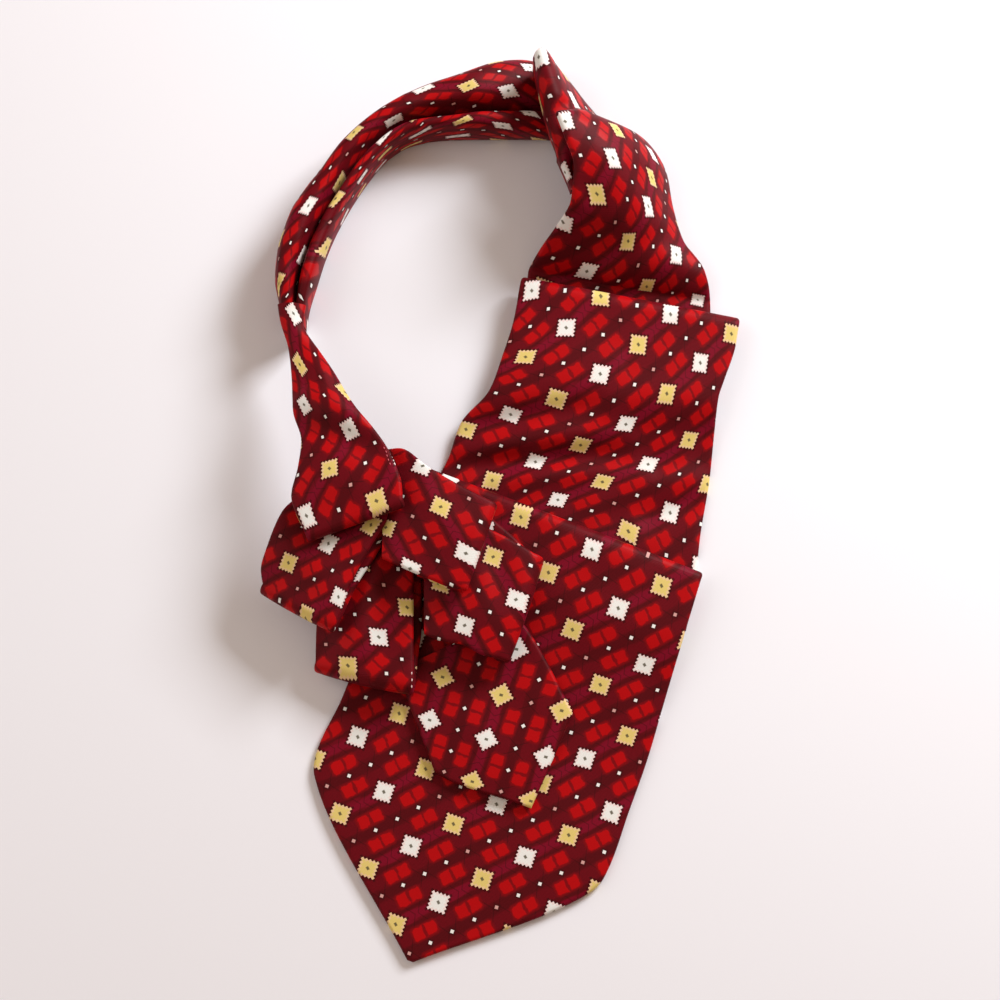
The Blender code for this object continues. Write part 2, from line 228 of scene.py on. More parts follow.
def smooth_through(knots: np.ndarray, values: np.ndarray, at: Sequence[float]) -> np.ndarray:
    """Smooth curve through the knots that never overshoots between them.

    Args:
        knots: rising distances.
        values: one row of values for each knot.
        at: distances to work the curve out at.

    Returns:
        One row of values for each distance.
    """
    spans = np.diff(knots)
    slopes = np.diff(values, axis=0) / spans[:, None]
    tangents = np.zeros_like(values)
    tangents[0] = slopes[0]
    tangents[-1] = slopes[-1]
    for k in range(1, len(knots) - 1):
        before, after = slopes[k - 1], slopes[k]
        same_way = before * after > 0.0
        safe = np.where(same_way, before + after, 1.0)
        tangents[k] = np.where(same_way, 2.0 * before * after / safe, 0.0)
    at = np.clip(np.asarray(at, float), knots[0], knots[-1])
    cell = np.clip(np.searchsorted(knots, at, side="right") - 1, 0, len(spans) - 1)
    width = spans[cell][:, None]
    part = ((at - knots[cell]) / spans[cell])[:, None]
    square, cube = part**2, part**3
    return (
        (2.0 * cube - 3.0 * square + 1.0) * values[cell]
        + (cube - 2.0 * square + part) * width * tangents[cell]
        + (3.0 * square - 2.0 * cube) * values[cell + 1]
        + (cube - square) * width * tangents[cell + 1]
    )


def knots_of(points: np.ndarray) -> np.ndarray:
    """Running length along a line of points."""
    return np.concatenate([[0.0], np.cumsum(np.linalg.norm(np.diff(points, axis=0), axis=1))])


def normals_of(grid: np.ndarray) -> np.ndarray:
    """Unit normals of a grid of points."""
    normal = np.cross(np.gradient(grid, axis=1), np.gradient(grid, axis=0))
    return normal / np.maximum(np.linalg.norm(normal, axis=2, keepdims=True), 1e-9)


def rounding(distance: np.ndarray, rim: float) -> np.ndarray:
    """Share of the full half thickness at a distance in from a rounded edge."""
    inset = 1.0 - np.clip(distance, 0.0, rim) / rim
    return np.sqrt(np.clip(1.0 - inset**2, 0.0, 1.0))


def third_corner(
    first: np.ndarray, second: np.ndarray, to_first: float, to_second: float, side: float
) -> np.ndarray:
    """Corner of a flat triangle from its base and its two other sides.

    Args:
        first: one end of the base.
        second: the other end.
        to_first: length of the side that meets the first end.
        to_second: length of the side that meets the second end.
        side: 1 or -1, the side of the base that the corner lies on.

    Returns:
        The corner.
    """
    base = second - first
    length = max(float(np.linalg.norm(base)), 1e-9)
    ahead = (to_first**2 - to_second**2 + length**2) / (2.0 * length)
    up = math.sqrt(max(to_first**2 - ahead**2, 0.0))
    unit = base / length
    return first + unit * ahead + side * up * np.array((-unit[1], unit[0]))


def unroll(left: np.ndarray, right: np.ndarray) -> tuple[np.ndarray, np.ndarray]:
    """Lay a ruled strip out flat, triangle by triangle, from its widest ring.

    Args:
        left: points of its left edge.
        right: points of its right edge.

    Returns:
        The two edges on the flat cut, across and along.
    """
    widths = np.linalg.norm(right - left, axis=1)
    start = int(np.argmax(widths))
    flat_left = np.zeros((len(left), 2))
    flat_right = np.zeros((len(left), 2))
    flat_right[start, 0] = widths[start]
    for way in (1, -1):
        stop = len(left) if way == 1 else -1
        for k in range(start + way, stop, way):
            last = k - way
            flat_left[k] = third_corner(
                flat_left[last],
                flat_right[last],
                float(np.linalg.norm(left[k] - left[last])),
                float(np.linalg.norm(left[k] - right[last])),
                way,
            )
            flat_right[k] = third_corner(
                flat_left[k],
                flat_right[last],
                float(widths[k]),
                float(np.linalg.norm(right[k] - right[last])),
                way,
            )
    return flat_left, flat_right


class Drape:
    """How the woven repeat lies over one stretch: set by its pins and eased between them.

    The sizes say over how many millimetres a pin's pull reaches, and the
    shares how strong it is. The rest say how a pin is found on the cut.
    """

    stretch_size: float = 60.0
    stretch_share: float = 0.5
    local_size: float = 26.0
    local_share: float = 0.35
    slack: float = 0.02
    neighbours: int = 4
    blur: float = 0.05

    def __init__(self, pins: Sequence[Pin], points: np.ndarray, flat: np.ndarray, hand: float) -> None:
        """Turn the repeat to suit the pins, then work out how far each one is still off.

        Args:
            pins: stamps and dots charted on the stretch.
            points: its visible face.
            flat: the same points on the flat cut.
            hand: 1 where the flat cut is seen from its face, -1 where it is mirrored.
        """
        spots, cut = points.reshape(-1, 3), flat.reshape(-1, 2)
        self.pinned = np.array([self.find(VIEW.spot(pin), spots, cut) for pin in pins])
        counts = np.array([(pin.across, pin.along) for pin in pins])
        repeat = np.array((CLOTH.repeat_across, CLOTH.repeat_along))
        wanted = counts * repeat
        self.middle, target = self.pinned.mean(axis=0), wanted.mean(axis=0)
        first, _, second = np.linalg.svd((wanted - target).T @ (self.pinned - self.middle))
        flip = hand * float(np.sign(np.linalg.det(first @ second)))
        self.turn = (first @ np.diag((1.0, flip)) @ second).T / repeat
        self.start = target / repeat
        off = counts - self.turned(self.pinned)
        likeness = self.likeness(self.pinned)
        self.weights = np.linalg.solve(likeness + np.eye(len(pins)) * self.slack**2, off)
        missed = (off - likeness @ self.weights) * repeat
        self.left_over = float(np.sqrt((missed**2).sum(axis=1).mean()))

    def find(self, spot: np.ndarray, spots: np.ndarray, cut: np.ndarray) -> np.ndarray:
        """Place on the flat cut of a point that lies on the visible face."""
        away = np.linalg.norm(spots - spot, axis=1)
        near = np.argsort(away)[: self.neighbours]
        share = 1.0 / (away[near] + self.blur)
        return (cut[near] * share[:, None]).sum(axis=0) / share.sum()

    def turned(self, flat: np.ndarray) -> np.ndarray:
        """Repeats at points of the flat cut, before any easing."""
        return self.start + (flat - self.middle) @ self.turn

    def likeness(self, flat: np.ndarray) -> np.ndarray:
        """How closely each point of the flat cut follows each pin."""
        from_middle = (flat - self.middle) / self.stretch_size
        pins_from_middle = (self.pinned - self.middle) / self.stretch_size
        slope = (from_middle @ pins_from_middle.T) * self.stretch_share**2
        gap = np.linalg.norm(flat[..., None, :] - self.pinned, axis=-1) / self.local_size
        return slope + np.exp(-(gap**2) / 2.0) * self.local_share**2

    def place(self, flat: np.ndarray) -> np.ndarray:
        """Pattern coordinates of points on the flat cut.

        Args:
            flat: points, last axis across and along in millimetres.

        Returns:
            The same points in repeats of the pattern.
        """
        return self.turned(flat) + self.likeness(flat) @ self.weights


def linked(name: str, data: bpy.types.ID) -> bpy.types.Object:
    """A new object of the scene, at the origin."""
    made = bpy.data.objects.new(name, data)
    bpy.context.scene.collection.objects.link(made)
    return made


def data_from(mesh: bmesh.types.BMesh, name: str) -> bpy.types.Mesh:
    """Mesh data made from a mesh, which is freed."""
    data = bpy.data.meshes.new(name)
    mesh.to_mesh(data)
    mesh.free()
    return data


def new_finish(name: str) -> tuple[bpy.types.Material, bpy.types.Node]:
    """A new material and its shader."""
    material = bpy.data.materials.new(name)
    material.use_nodes = True
    return material, material.node_tree.nodes["Principled BSDF"]


def piece_from(mesh: bmesh.types.BMesh, name: str, material: bpy.types.Material) -> bpy.types.Object:
    """Turn a mesh in millimetres about the layout into a finished object in metres.

    Args:
        mesh: the mesh, which is freed.
        name: the piece's name.
        material: its finish.

    Returns:
        The linked object, at the origin.
    """
    move = Matrix.Translation((-CLOTH.middle_x * MM, -CLOTH.middle_y * MM, 0.0))
    mesh.transform(move @ Matrix.Scale(MM, 4))
    data = data_from(mesh, name)
    data.materials.append(material)
    data.shade_smooth()
    return linked(name, data)


def face_up(mesh: bmesh.types.BMesh, vert: bmesh.types.BMVert) -> None:
    """Turn the faces round if those at a point of the upper face look down."""
    if sum((face.normal for face in vert.link_faces), Vector()).z < 0.0:
        bmesh.ops.reverse_faces(mesh, faces=mesh.faces)


def crease_height(creases: Sequence[Crease], x: np.ndarray, y: np.ndarray) -> np.ndarray:
    """Height that the creases add at points of the layout.

    Args:
        creases: the ridges and troughs.
        x: positions across the table.
        y: positions up the table.

    Returns:
        Heights in millimetres.
    """
    height = np.zeros_like(x)
    for crease in creases:
        run = np.array((crease.to_x - crease.from_x, crease.to_y - crease.from_y))
        length = float(np.linalg.norm(run))
        unit = run / length
        ahead = ((x - crease.from_x) * unit[0] + (y - crease.from_y) * unit[1]) / length
        off = -(x - crease.from_x) * unit[1] + (y - crease.from_y) * unit[0]
        off = off - crease.bend * 4.0 * ahead * (1.0 - ahead)
        fade = np.clip(ahead * (1.0 - ahead) * 4.0, 0.0, 1.0) ** CLOTH.crease_fade
        height += crease.height * fade * np.exp(-((off / crease.width) ** 2))
    return height


def swell_height(x: np.ndarray, y: np.ndarray, z: np.ndarray) -> np.ndarray:
    """Slight unevenness of cloth that lies free, from a fixed noise."""
    size = CLOTH.swell_size
    flat = [noise.noise(Vector((a / size, b / size, c / size))) for a, b, c in zip(x.flat, y.flat, z.flat)]
    return CLOTH.swell * np.array(flat).reshape(x.shape)


@dataclass
class Stretch:
    """One stretch of the tie: a flattened tube of silk through a table of sections."""

    name: str
    nodes: Sequence[str]
    sections: Sequence[Section]
    pins: Sequence[Pin]
    creases: Sequence[Crease]
    hold: Hold
    rests_on: Sequence[str]
    fold: Optional[Fold] = None
    closed_start: bool = False
    closed_end: bool = False
    beneath: Optional[str] = None
    flat_size: tuple[float, float] = field(default=(0.0, 0.0), init=False)
    flat_area: float = field(default=0.0, init=False)

    def stations(self, knots: np.ndarray) -> list[float]:
        """Distances of the rings along the strip, close together at rounded ends."""
        rim = CLOTH.thickness / 2.0
        places = [rim * part for part in CLOTH.rim]
        for near, far in zip(knots, knots[1:]):
            count = max(1, round((far - near) / CLOTH.ring_step))
            places += [near + (far - near) * k / count for k in range(1, count + 1)]
        last = knots[-1] if self.fold else knots[-1] - rim
        first, final = rim * CLOTH.rim_clear_start, last - rim * CLOTH.rim_clear_end
        places = [place for place in places if place <= rim or first < place < final]
        if self.fold:
            return places + [last]
        return places + [knots[-1] - rim * part for part in reversed(CLOTH.rim)]

    def rings(self) -> np.ndarray:
        """Left edge, right edge and bow at each ring, carried round the fold if there is one."""
        rows = np.array(self.sections, float)
        knots = knots_of((rows[:, LEFT] + rows[:, RIGHT]) / 2.0)
        rings = smooth_through(knots, rows, self.stations(knots))
        if self.fold is None:
            return rings
        fold = self.fold
        last, before = rings[-1], rings[-3]
        across = last[RIGHT] - last[LEFT]
        outward = (last[LEFT] + last[RIGHT]) - (before[LEFT] + before[RIGHT])
        outward = outward - across * outward.dot(across) / across.dot(across)
        outward[2] = 0.0
        outward = outward / np.linalg.norm(outward)
        radius = fold.depth / 2.0
        turned = []
        for k in range(1, CLOTH.fold_steps):
            angle = math.pi * k / CLOTH.fold_steps
            move = outward * radius * math.sin(angle)
            move = move + np.array((0.0, 0.0, -radius * (1.0 - math.cos(angle))))
            ring = last.copy()
            ring[LEFT] += move
            ring[RIGHT] += move
            ring[BOW] *= 1.0 - (1.0 + fold.follow) * k / CLOTH.fold_steps
            turned.append(ring)
        back = min(fold.back, knots[-1])
        count = max(2, round(back / CLOTH.ring_step))
        places = [back * k / count for k in range(count + 1)]
        behind = smooth_through(knots, rows, [knots[-1] - place for place in places])
        for place, ring in zip(places, behind):
            slide = min(1.0, place / CLOTH.slide_over)
            move = np.array((fold.slide_x * slide, fold.slide_y * slide, -fold.depth))
            ring[LEFT] += move
            ring[RIGHT] += move
            ring[BOW] *= -fold.follow
            turned.append(ring)
        return np.vstack([rings, np.array(turned)])

    @staticmethod
    def parts(width: float, count: int) -> np.ndarray:
        """Fractions across the strip, closer together at its rounded edges."""
        edge = min(CLOTH.thickness / 2.0 / width, CLOTH.widest_rim)
        start = [edge * part for part in CLOTH.rim]
        inner = [edge + (1.0 - 2.0 * edge) * k / count for k in range(1, count + 1)]
        finish = [1.0 - edge * part for part in reversed(CLOTH.rim[:-1])]
        return np.array(start + inner + finish)

    def layers(self, tops: dict[str, BVHTree]) -> tuple[np.ndarray, np.ndarray, np.ndarray, np.ndarray]:
        """Work out the shell's two faces and where each point lies on the flat cut.

        Args:
            tops: surfaces of the pieces that were built before, by name.

        Returns:
            Upper face, lower face, flat places and distance across, as grids.
        """
        rings = self.rings()
        left, right, bow = rings[:, LEFT], rings[:, RIGHT], rings[:, BOW]
        widths = np.linalg.norm(right - left, axis=1)
        count = max(CLOTH.fewest_across, round(float(widths.max()) / CLOTH.across_step))
        parts = np.array([self.parts(width, count) for width in widths])
        grid = left[:, None, :] + (right - left)[:, None, :] * parts[:, :, None]
        normal = normals_of(grid)
        upward = 1.0 if normal[len(normal) // 4, :, 2].mean() > 0.0 else -1.0
        arch = 4.0 * parts * (1.0 - parts) * bow[:, None] * upward
        grid = grid + normal * arch[:, :, None]
        if self.beneath:
            grid = self.lie_on(grid, tops[self.beneath])
        flat_left, flat_right = unroll(left, right)
        flat = flat_left[:, None, :] + (flat_right - flat_left)[:, None, :] * parts[:, :, None]
        self.measure(flat_left, flat_right)
        run = knots_of(grid[:, grid.shape[1] // 2])
        side = np.minimum(parts, 1.0 - parts) * widths[:, None]
        half = CLOTH.thickness / 2.0
        share = rounding(side, half)
        if self.closed_start:
            share = share * rounding(run, half)[:, None]
        if self.closed_end:
            share = share * rounding(run[-1] - run, half)[:, None]
        normal = normals_of(grid) * upward
        soft = crease_height(self.creases, grid[..., 0], grid[..., 1])
        soft = soft + swell_height(grid[..., 0], grid[..., 1], grid[..., 2] * CLOTH.swell_by_height)
        top_rings = len(rings)
        if self.fold:
            top_rings = int(np.argmax(run > run[-1] - self.fold.back - CLOTH.soft_to_fold))
        fade = np.clip((top_rings - np.arange(len(rings))) / CLOTH.soft_fade_rings, 0.0, 1.0)
        lift = soft * share * fade[:, None]
        upper = grid + normal * (half * share + lift)[:, :, None]
        free = np.clip((grid[..., 2] - CLOTH.lies_below) / CLOTH.free_over, 0.0, 1.0)
        follow = 0.0 if self.beneath else CLOTH.under_share
        lower = grid - normal * (half * share - lift * free * follow)[:, :, None]
        upper[..., 2] = np.maximum(upper[..., 2], 0.0)
        lower[..., 2] = np.where(lower[..., 2] < CLOTH.contact, 0.0, lower[..., 2])
        return upper, lower, flat, parts

    def measure(self, flat_left: np.ndarray, flat_right: np.ndarray) -> None:
        """Keep the flat cut's size all round the tube, in metres."""
        widths = np.linalg.norm(flat_right - flat_left, axis=1)
        run = knots_of((flat_left + flat_right) / 2.0)
        self.flat_size = (2.0 * float(widths.max()) * MM, float(run[-1]) * MM)
        slices = (widths[1:] + widths[:-1]) / 2.0 * np.diff(run)
        self.flat_area = 2.0 * float(slices.sum()) * MM * MM

    @staticmethod
    def lie_on(grid: np.ndarray, surface: BVHTree) -> np.ndarray:
        """Lift a middle layer where the piece beneath it would reach into it."""
        lifted = grid.copy()
        rise = CLOTH.gap + CLOTH.thickness / 2.0
        for i, j in np.ndindex(grid.shape[:2]):
            start = (grid[i, j] - CLOTH.middle) * MM
            hit = surface.ray_cast((start[0], start[1], CLOTH.drop_from * MM), (0.0, 0.0, -1.0))[0]
            if hit is not None:
                lifted[i, j, 2] = max(grid[i, j, 2], hit.z / MM + rise)
        return lifted

    def build(self, material: bpy.types.Material, tops: dict[str, BVHTree]) -> bpy.types.Object:
        """Make the tube of silk, with its pattern coordinates.

        Args:
            material: the silk.
            tops: surfaces of the pieces that were built before, by name.

        Returns:
            The finished piece.
        """
        upper, lower, flat, parts = self.layers(tops)
        rows, columns = upper.shape[:2]
        mesh = bmesh.new()
        layer = mesh.loops.layers.uv.new("Repeat")
        top = [[mesh.verts.new(upper[i, j]) for j in range(columns)] for i in range(rows)]
        base = [list(line) for line in top]
        first = 1 if self.closed_start else 0
        last = rows - 1 if self.closed_end else rows
        for i in range(first, last):
            for j in range(1, columns - 1):
                base[i][j] = mesh.verts.new(lower[i, j])
        beyond_left = 2.0 * flat[:, :1] - flat
        beyond_right = 2.0 * flat[:, -1:] - flat
        shown = slice(0, rows if self.fold is None else rows * 3 // 4)
        facing = float(np.sign(normals_of(upper[shown])[..., 2].mean()))
        drape = Drape(self.pins, upper, flat, facing)
        LOG.info("%s: the pins are met to %.2f mm", self.name, drape.left_over)
        face_places = drape.place(flat)
        left_places = drape.place(beyond_left)
        right_places = drape.place(beyond_right)
        for i in range(rows - 1):
            for j in range(columns - 1):
                corners = ((i, j), (i, j + 1), (i + 1, j + 1), (i + 1, j))
                self.face(mesh, layer, top, corners, face_places)
                back_places = left_places if j < columns // 2 else right_places
                self.face(mesh, layer, base, corners[::-1], back_places)
        bmesh.ops.recalc_face_normals(mesh, faces=mesh.faces)
        face_up(mesh, top[rows // 4][columns // 2])
        return piece_from(mesh, self.name, material)

    @staticmethod
    def face(
        mesh: bmesh.types.BMesh,
        layer: bmesh.types.BMLayerItem,
        verts: list[list[bmesh.types.BMVert]],
        corners: Sequence[tuple[int, int]],
        places: np.ndarray,
    ) -> None:
        """Add one face of a grid with its pattern coordinates, leaving out doubled corners."""
        ring = [verts[i][j] for i, j in corners]
        if len(set(ring)) < 4:
            return
        made = mesh.faces.new(ring)
        for loop, (i, j) in zip(made.loops, corners):
            loop[layer].uv = places[i, j]

    def dress(self, piece: bpy.types.Object) -> None:
        """Hang the piece on its body and hide the CAD parts that it stands for."""
        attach(piece, BODY)
        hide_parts(*self.nodes)


@dataclass
class NeckBand:
    """Neck band: the tie rolled lengthwise into two soft rolls with a valley between them."""

    name: str
    node: str
    sections: Sequence[RollSection]
    pins: Sequence[Pin]
    inner_pins: Sequence[Pin]
    side_points: int = 12
    top_points: int = 12
    fullness: float = 0.62
    settles: float = 6.0
    creases: Sequence[Crease] = ()
    flat_size: tuple[float, float] = field(default=(0.0, 0.0), init=False)

    def flank(self) -> list[tuple[float, float]]:
        """Reach and rise of a roll's rounded outer side, from the table up to its crest."""
        points = []
        for k in range(self.side_points + 1):
            angle = math.pi * (k / self.side_points - 0.5)
            points.append((max(0.0, math.cos(angle)) ** self.fullness, (1.0 + math.sin(angle)) / 2.0))
        return points

    def outline(self, row: np.ndarray) -> np.ndarray:
        """Points of one section, from the foot of the outer roll over to the foot of the inner one."""
        section = RollSection(*row)
        outer = np.array((section.outer_x, section.outer_y))
        deep = np.array((section.valley_x, section.valley_y))
        inner = np.array((section.inner_x, section.inner_y))
        outer_centre = (outer + deep) / 2.0
        inner_centre = (deep + inner) / 2.0
        steps = range(1, self.top_points + 1)
        down = [(outer_centre, section.outer_z, 1.0 - k / self.top_points) for k in steps]
        up = [(inner_centre, section.inner_z, k / self.top_points) for k in steps]
        line = []
        for reach, rise in self.flank():
            line.append((*(outer_centre + (outer - outer_centre) * reach), section.outer_z * rise))
        for centre, crest, part in down + up:
            angle = math.pi / 2.0 * part
            place = centre + (deep - centre) * math.cos(angle) ** self.fullness
            line.append((*place, section.valley_z + (crest - section.valley_z) * math.sin(angle)))
        for reach, rise in reversed(self.flank()[:-1]):
            line.append((*(inner_centre + (inner - inner_centre) * reach), section.inner_z * rise))
        return np.array(line)

    def grid(self) -> tuple[np.ndarray, np.ndarray]:
        """Points of the band and their places on the flat cut."""
        rows = np.array(self.sections, float)
        knots = knots_of(rows[:, 2:4])
        count = round(knots[-1] / CLOTH.ring_step)
        places = np.linspace(0.0, knots[-1], count + 1)
        grid = np.array([self.outline(row) for row in smooth_through(knots, rows, places)])
        girth = np.array([knots_of(line) for line in grid])
        valley = self.side_points + self.top_points
        girth = girth - girth[:, valley : valley + 1]
        along = np.array([knots_of(grid[:, j]) for j in range(grid.shape[1])]).T
        along = along - along[count // 2]
        normal = normals_of(grid)
        soft = crease_height(self.creases, grid[..., 0], grid[..., 1])
        soft = soft + swell_height(grid[..., 0], grid[..., 1], grid[..., 2])
        away = np.clip(grid[..., 2] / self.settles, 0.0, 1.0)
        grid = grid + normal * (soft * away)[:, :, None]
        self.flat_size = (float(np.ptp(girth, axis=1).max()) * MM, float(knots[-1]) * MM)
        return grid, np.stack([girth, along], axis=2)

    def build(self, material: bpy.types.Material) -> bpy.types.Object:
        """Make the band's shell, with its pattern coordinates.

        Args:
            material: the silk.

        Returns:
            The finished piece.
        """
        grid, flat = self.grid()
        facing = float(np.sign(normals_of(grid)[:, self.side_points : -self.side_points, 2].mean()))
        drapes = [Drape(pins, grid, flat, facing) for pins in (self.pins, self.inner_pins)]
        left_over = [drape.left_over for drape in drapes]
        LOG.info("%s: the pins are met to %.2f and %.2f mm", self.name, *left_over)
        outer_places, inner_places = (drape.place(flat) for drape in drapes)
        valley = self.side_points + self.top_points
        rows, columns = grid.shape[:2]
        mesh = bmesh.new()
        layer = mesh.loops.layers.uv.new("Repeat")
        verts = [[mesh.verts.new(grid[i, j]) for j in range(columns)] for i in range(rows)]
        for i in range(rows - 1):
            for j in range(columns - 1):
                corners = ((i, j), (i, j + 1), (i + 1, j + 1), (i + 1, j))
                Stretch.face(mesh, layer, verts, corners, outer_places if j < valley else inner_places)
            under = ((i, columns - 1), (i, 0), (i + 1, 0), (i + 1, columns - 1))
            Stretch.face(mesh, layer, verts, under, outer_places)
        bmesh.ops.recalc_face_normals(mesh, faces=mesh.faces)
        face_up(mesh, verts[rows // 2][self.side_points])
        return piece_from(mesh, self.name, material)

    def dress(self, piece: bpy.types.Object) -> None:
        """Hang the piece on its body and hide the CAD part that it stands for."""
        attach(piece, BODY)
        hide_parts(self.node)


@dataclass(frozen=True)
class RosetteCore:
    """Stitched middle of the rosette: hidden layers gathered into a rounded stack."""

    name: str = "rosette_core_silk"
    node: str = "rosette_core"
    centre_x: float = -33.8
    centre_y: float = -3.5
    length: float = 30.0
    width: float = 17.0
    low: float = 7.9
    high: float = 14.0
    sides: int = 72
    layers: int = 3
    lines: int = 24
    gathers: int = 9
    gather_depth: float = 0.5
    gather_twist: float = 2.0
    waist: float = 0.62
    belly: float = 0.34
    barrel_power: int = 4
    leaf_inner: float = 0.94
    leaf_depth: float = 0.05
    leaf_power: float = 0.4

    def build(self, material: bpy.types.Material) -> bpy.types.Object:
        """Make the stack, layered and gathered round its side.

        Args:
            material: the silk.

        Returns:
            The finished piece.
        """
        mesh = bmesh.new()
        layer = mesh.loops.layers.uv.new("Repeat")
        loops = []
        for line in range(self.lines + 1):
            rise = line / self.lines
            height = self.low + (self.high - self.low) * rise
            leaf = abs(math.sin(math.pi * self.layers * rise)) ** self.leaf_power
            barrel = math.sqrt(max(0.0, 1.0 - (2.0 * rise - 1.0) ** self.barrel_power))
            reach = (self.waist + self.belly * barrel) * (self.leaf_inner + self.leaf_depth * leaf)
            loop = []
            for k in range(self.sides):
                angle = 2.0 * math.pi * k / self.sides
                wave = math.cos(self.gathers * angle + self.gather_twist * rise)
                pull = 1.0 - self.gather_depth / self.width * (1.0 + wave)
                x = self.centre_x + self.width / 2.0 * reach * pull * math.cos(angle)
                y = self.centre_y + self.length / 2.0 * reach * pull * math.sin(angle)
                loop.append(mesh.verts.new((x, y, height)))
            loops.append(loop)
        for near, far in zip(loops, loops[1:]):
            for k in range(self.sides):
                after = (k + 1) % self.sides
                mesh.faces.new((near[k], near[after], far[after], far[k]))
        mesh.faces.new(loops[0][::-1])
        mesh.faces.new(loops[-1])
        for made in mesh.faces:
            for loop in made.loops:
                place = loop.vert.co
                loop[layer].uv = (place.x / CLOTH.repeat_across, (place.y + place.z) / CLOTH.repeat_along)
        bmesh.ops.recalc_face_normals(mesh, faces=mesh.faces)
        return piece_from(mesh, self.name, material)

    def dress(self, piece: bpy.types.Object) -> None:
        """Hang the piece on its body and hide the CAD part that it stands for."""
        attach(piece, BODY)
        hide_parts(self.node)


class Graph:
    """Short calls for building a shader's or a modifier's nodes, laid out in rows."""

    columns: int = 14
    column_width: int = 180
    row_height: int = 200

    def __init__(self, tree: bpy.types.NodeTree) -> None:
        """Keep the tree to add to."""
        self.tree = tree
        self.count = 0

    def add(self, kind: str, **settings: object) -> bpy.types.Node:
        """Add a node and set its properties."""
        node = self.tree.nodes.new(kind)
        row, column = divmod(self.count, self.columns)
        node.location = (column * self.column_width, -row * self.row_height)
        self.count += 1
        for key, value in settings.items():
            setattr(node, key, value)
        return node

    def fed(self, kind: str, settings: Optional[dict[str, object]] = None, **values: object) -> Socket:
        """Add a node, feed its named inputs and give its first output."""
        node = self.add(kind, **(settings or {}))
        for label, value in values.items():
            self.feed(node.inputs[label], value)
        return node.outputs[0]

    def feed(self, socket: Socket, value: object) -> None:
        """Link a socket or set its value."""
        if isinstance(value, Socket):
            self.tree.links.new(value, socket)
        else:
            socket.default_value = value

    def math(self, operation: str, first: Number, second: Number = 0.0) -> Socket:
        """One Math node."""
        node = self.add("ShaderNodeMath", operation=operation)
        self.feed(node.inputs[0], first)
        self.feed(node.inputs[1], second)
        return node.outputs[0]

    def chain(self, operation: str, first: Number, others: Sequence[Number]) -> Socket:
        """One Math node after another, each with the next number."""
        for other in others:
            first = self.math(operation, first, other)
        return first

    def total(self, first: Number, *others: Number) -> Socket:
        """Sum of several numbers."""
        return self.chain("ADD", first, others)

    def product(self, first: Number, *others: Number) -> Socket:
        """Product of several numbers."""
        return self.chain("MULTIPLY", first, others)

    def less(self, first: Number, second: Number) -> Number:
        """First number less the second."""
        return self.math("SUBTRACT", first, second)

    def size(self, value: Number) -> Socket:
        """A number without its sign."""
        return self.math("ABSOLUTE", value)

    def smallest(self, first: Number, *others: Number) -> Socket:
        """The smallest of several numbers."""
        return self.chain("MINIMUM", first, others)

    def largest(self, first: Number, *others: Number) -> Socket:
        """The largest of several numbers."""
        return self.chain("MAXIMUM", first, others)

    def inside(self, distance: Number, figure: Figure) -> Socket:
        """A figure's share where a distance is under its edge, and 0 past it."""
        node = self.add("ShaderNodeMapRange", interpolation_type="SMOOTHSTEP", clamp=True)
        self.feed(node.inputs["Value"], self.less(distance, figure.edge))
        node.inputs["From Min"].default_value = -figure.soft
        node.inputs["From Max"].default_value = figure.soft
        node.inputs["To Min"].default_value = 1.0
        node.inputs["To Max"].default_value = 0.0
        mask = node.outputs["Result"]
        return mask if figure.share == 1.0 else self.product(mask, figure.share)

    def paint(self, share: Number, under: object, over: object) -> Socket:
        """Lay one colour over another by a share."""
        node = self.add("ShaderNodeMix", data_type="RGBA", blend_type="MIX")
        self.feed(node.inputs[0], share)
        for socket, value in ((node.inputs[6], under), (node.inputs[7], over)):
            self.feed(socket, value if isinstance(value, Socket) else (*value, 1.0))
        return node.outputs[2]

    def grain(self, vector: Socket, scale: float, detail: float = 2.0) -> Socket:
        """Noise from 0 to 1 on a place."""
        node = self.add("ShaderNodeTexNoise", noise_dimensions="3D")
        self.feed(node.inputs["Vector"], vector)
        node.inputs["Scale"].default_value = scale
        node.inputs["Detail"].default_value = detail
        return node.outputs["Fac"]


def plain(red: float, green: float, blue: float) -> Colour:
    """A colour read off a screen, 0 to 255, as the light values that a shader takes."""

    def light(value: float) -> float:
        """One channel."""
        share = value / 255.0
        return share / 12.92 if share <= 0.04045 else ((share + 0.055) / 1.055) ** 2.4

    return light(red), light(green), light(blue)


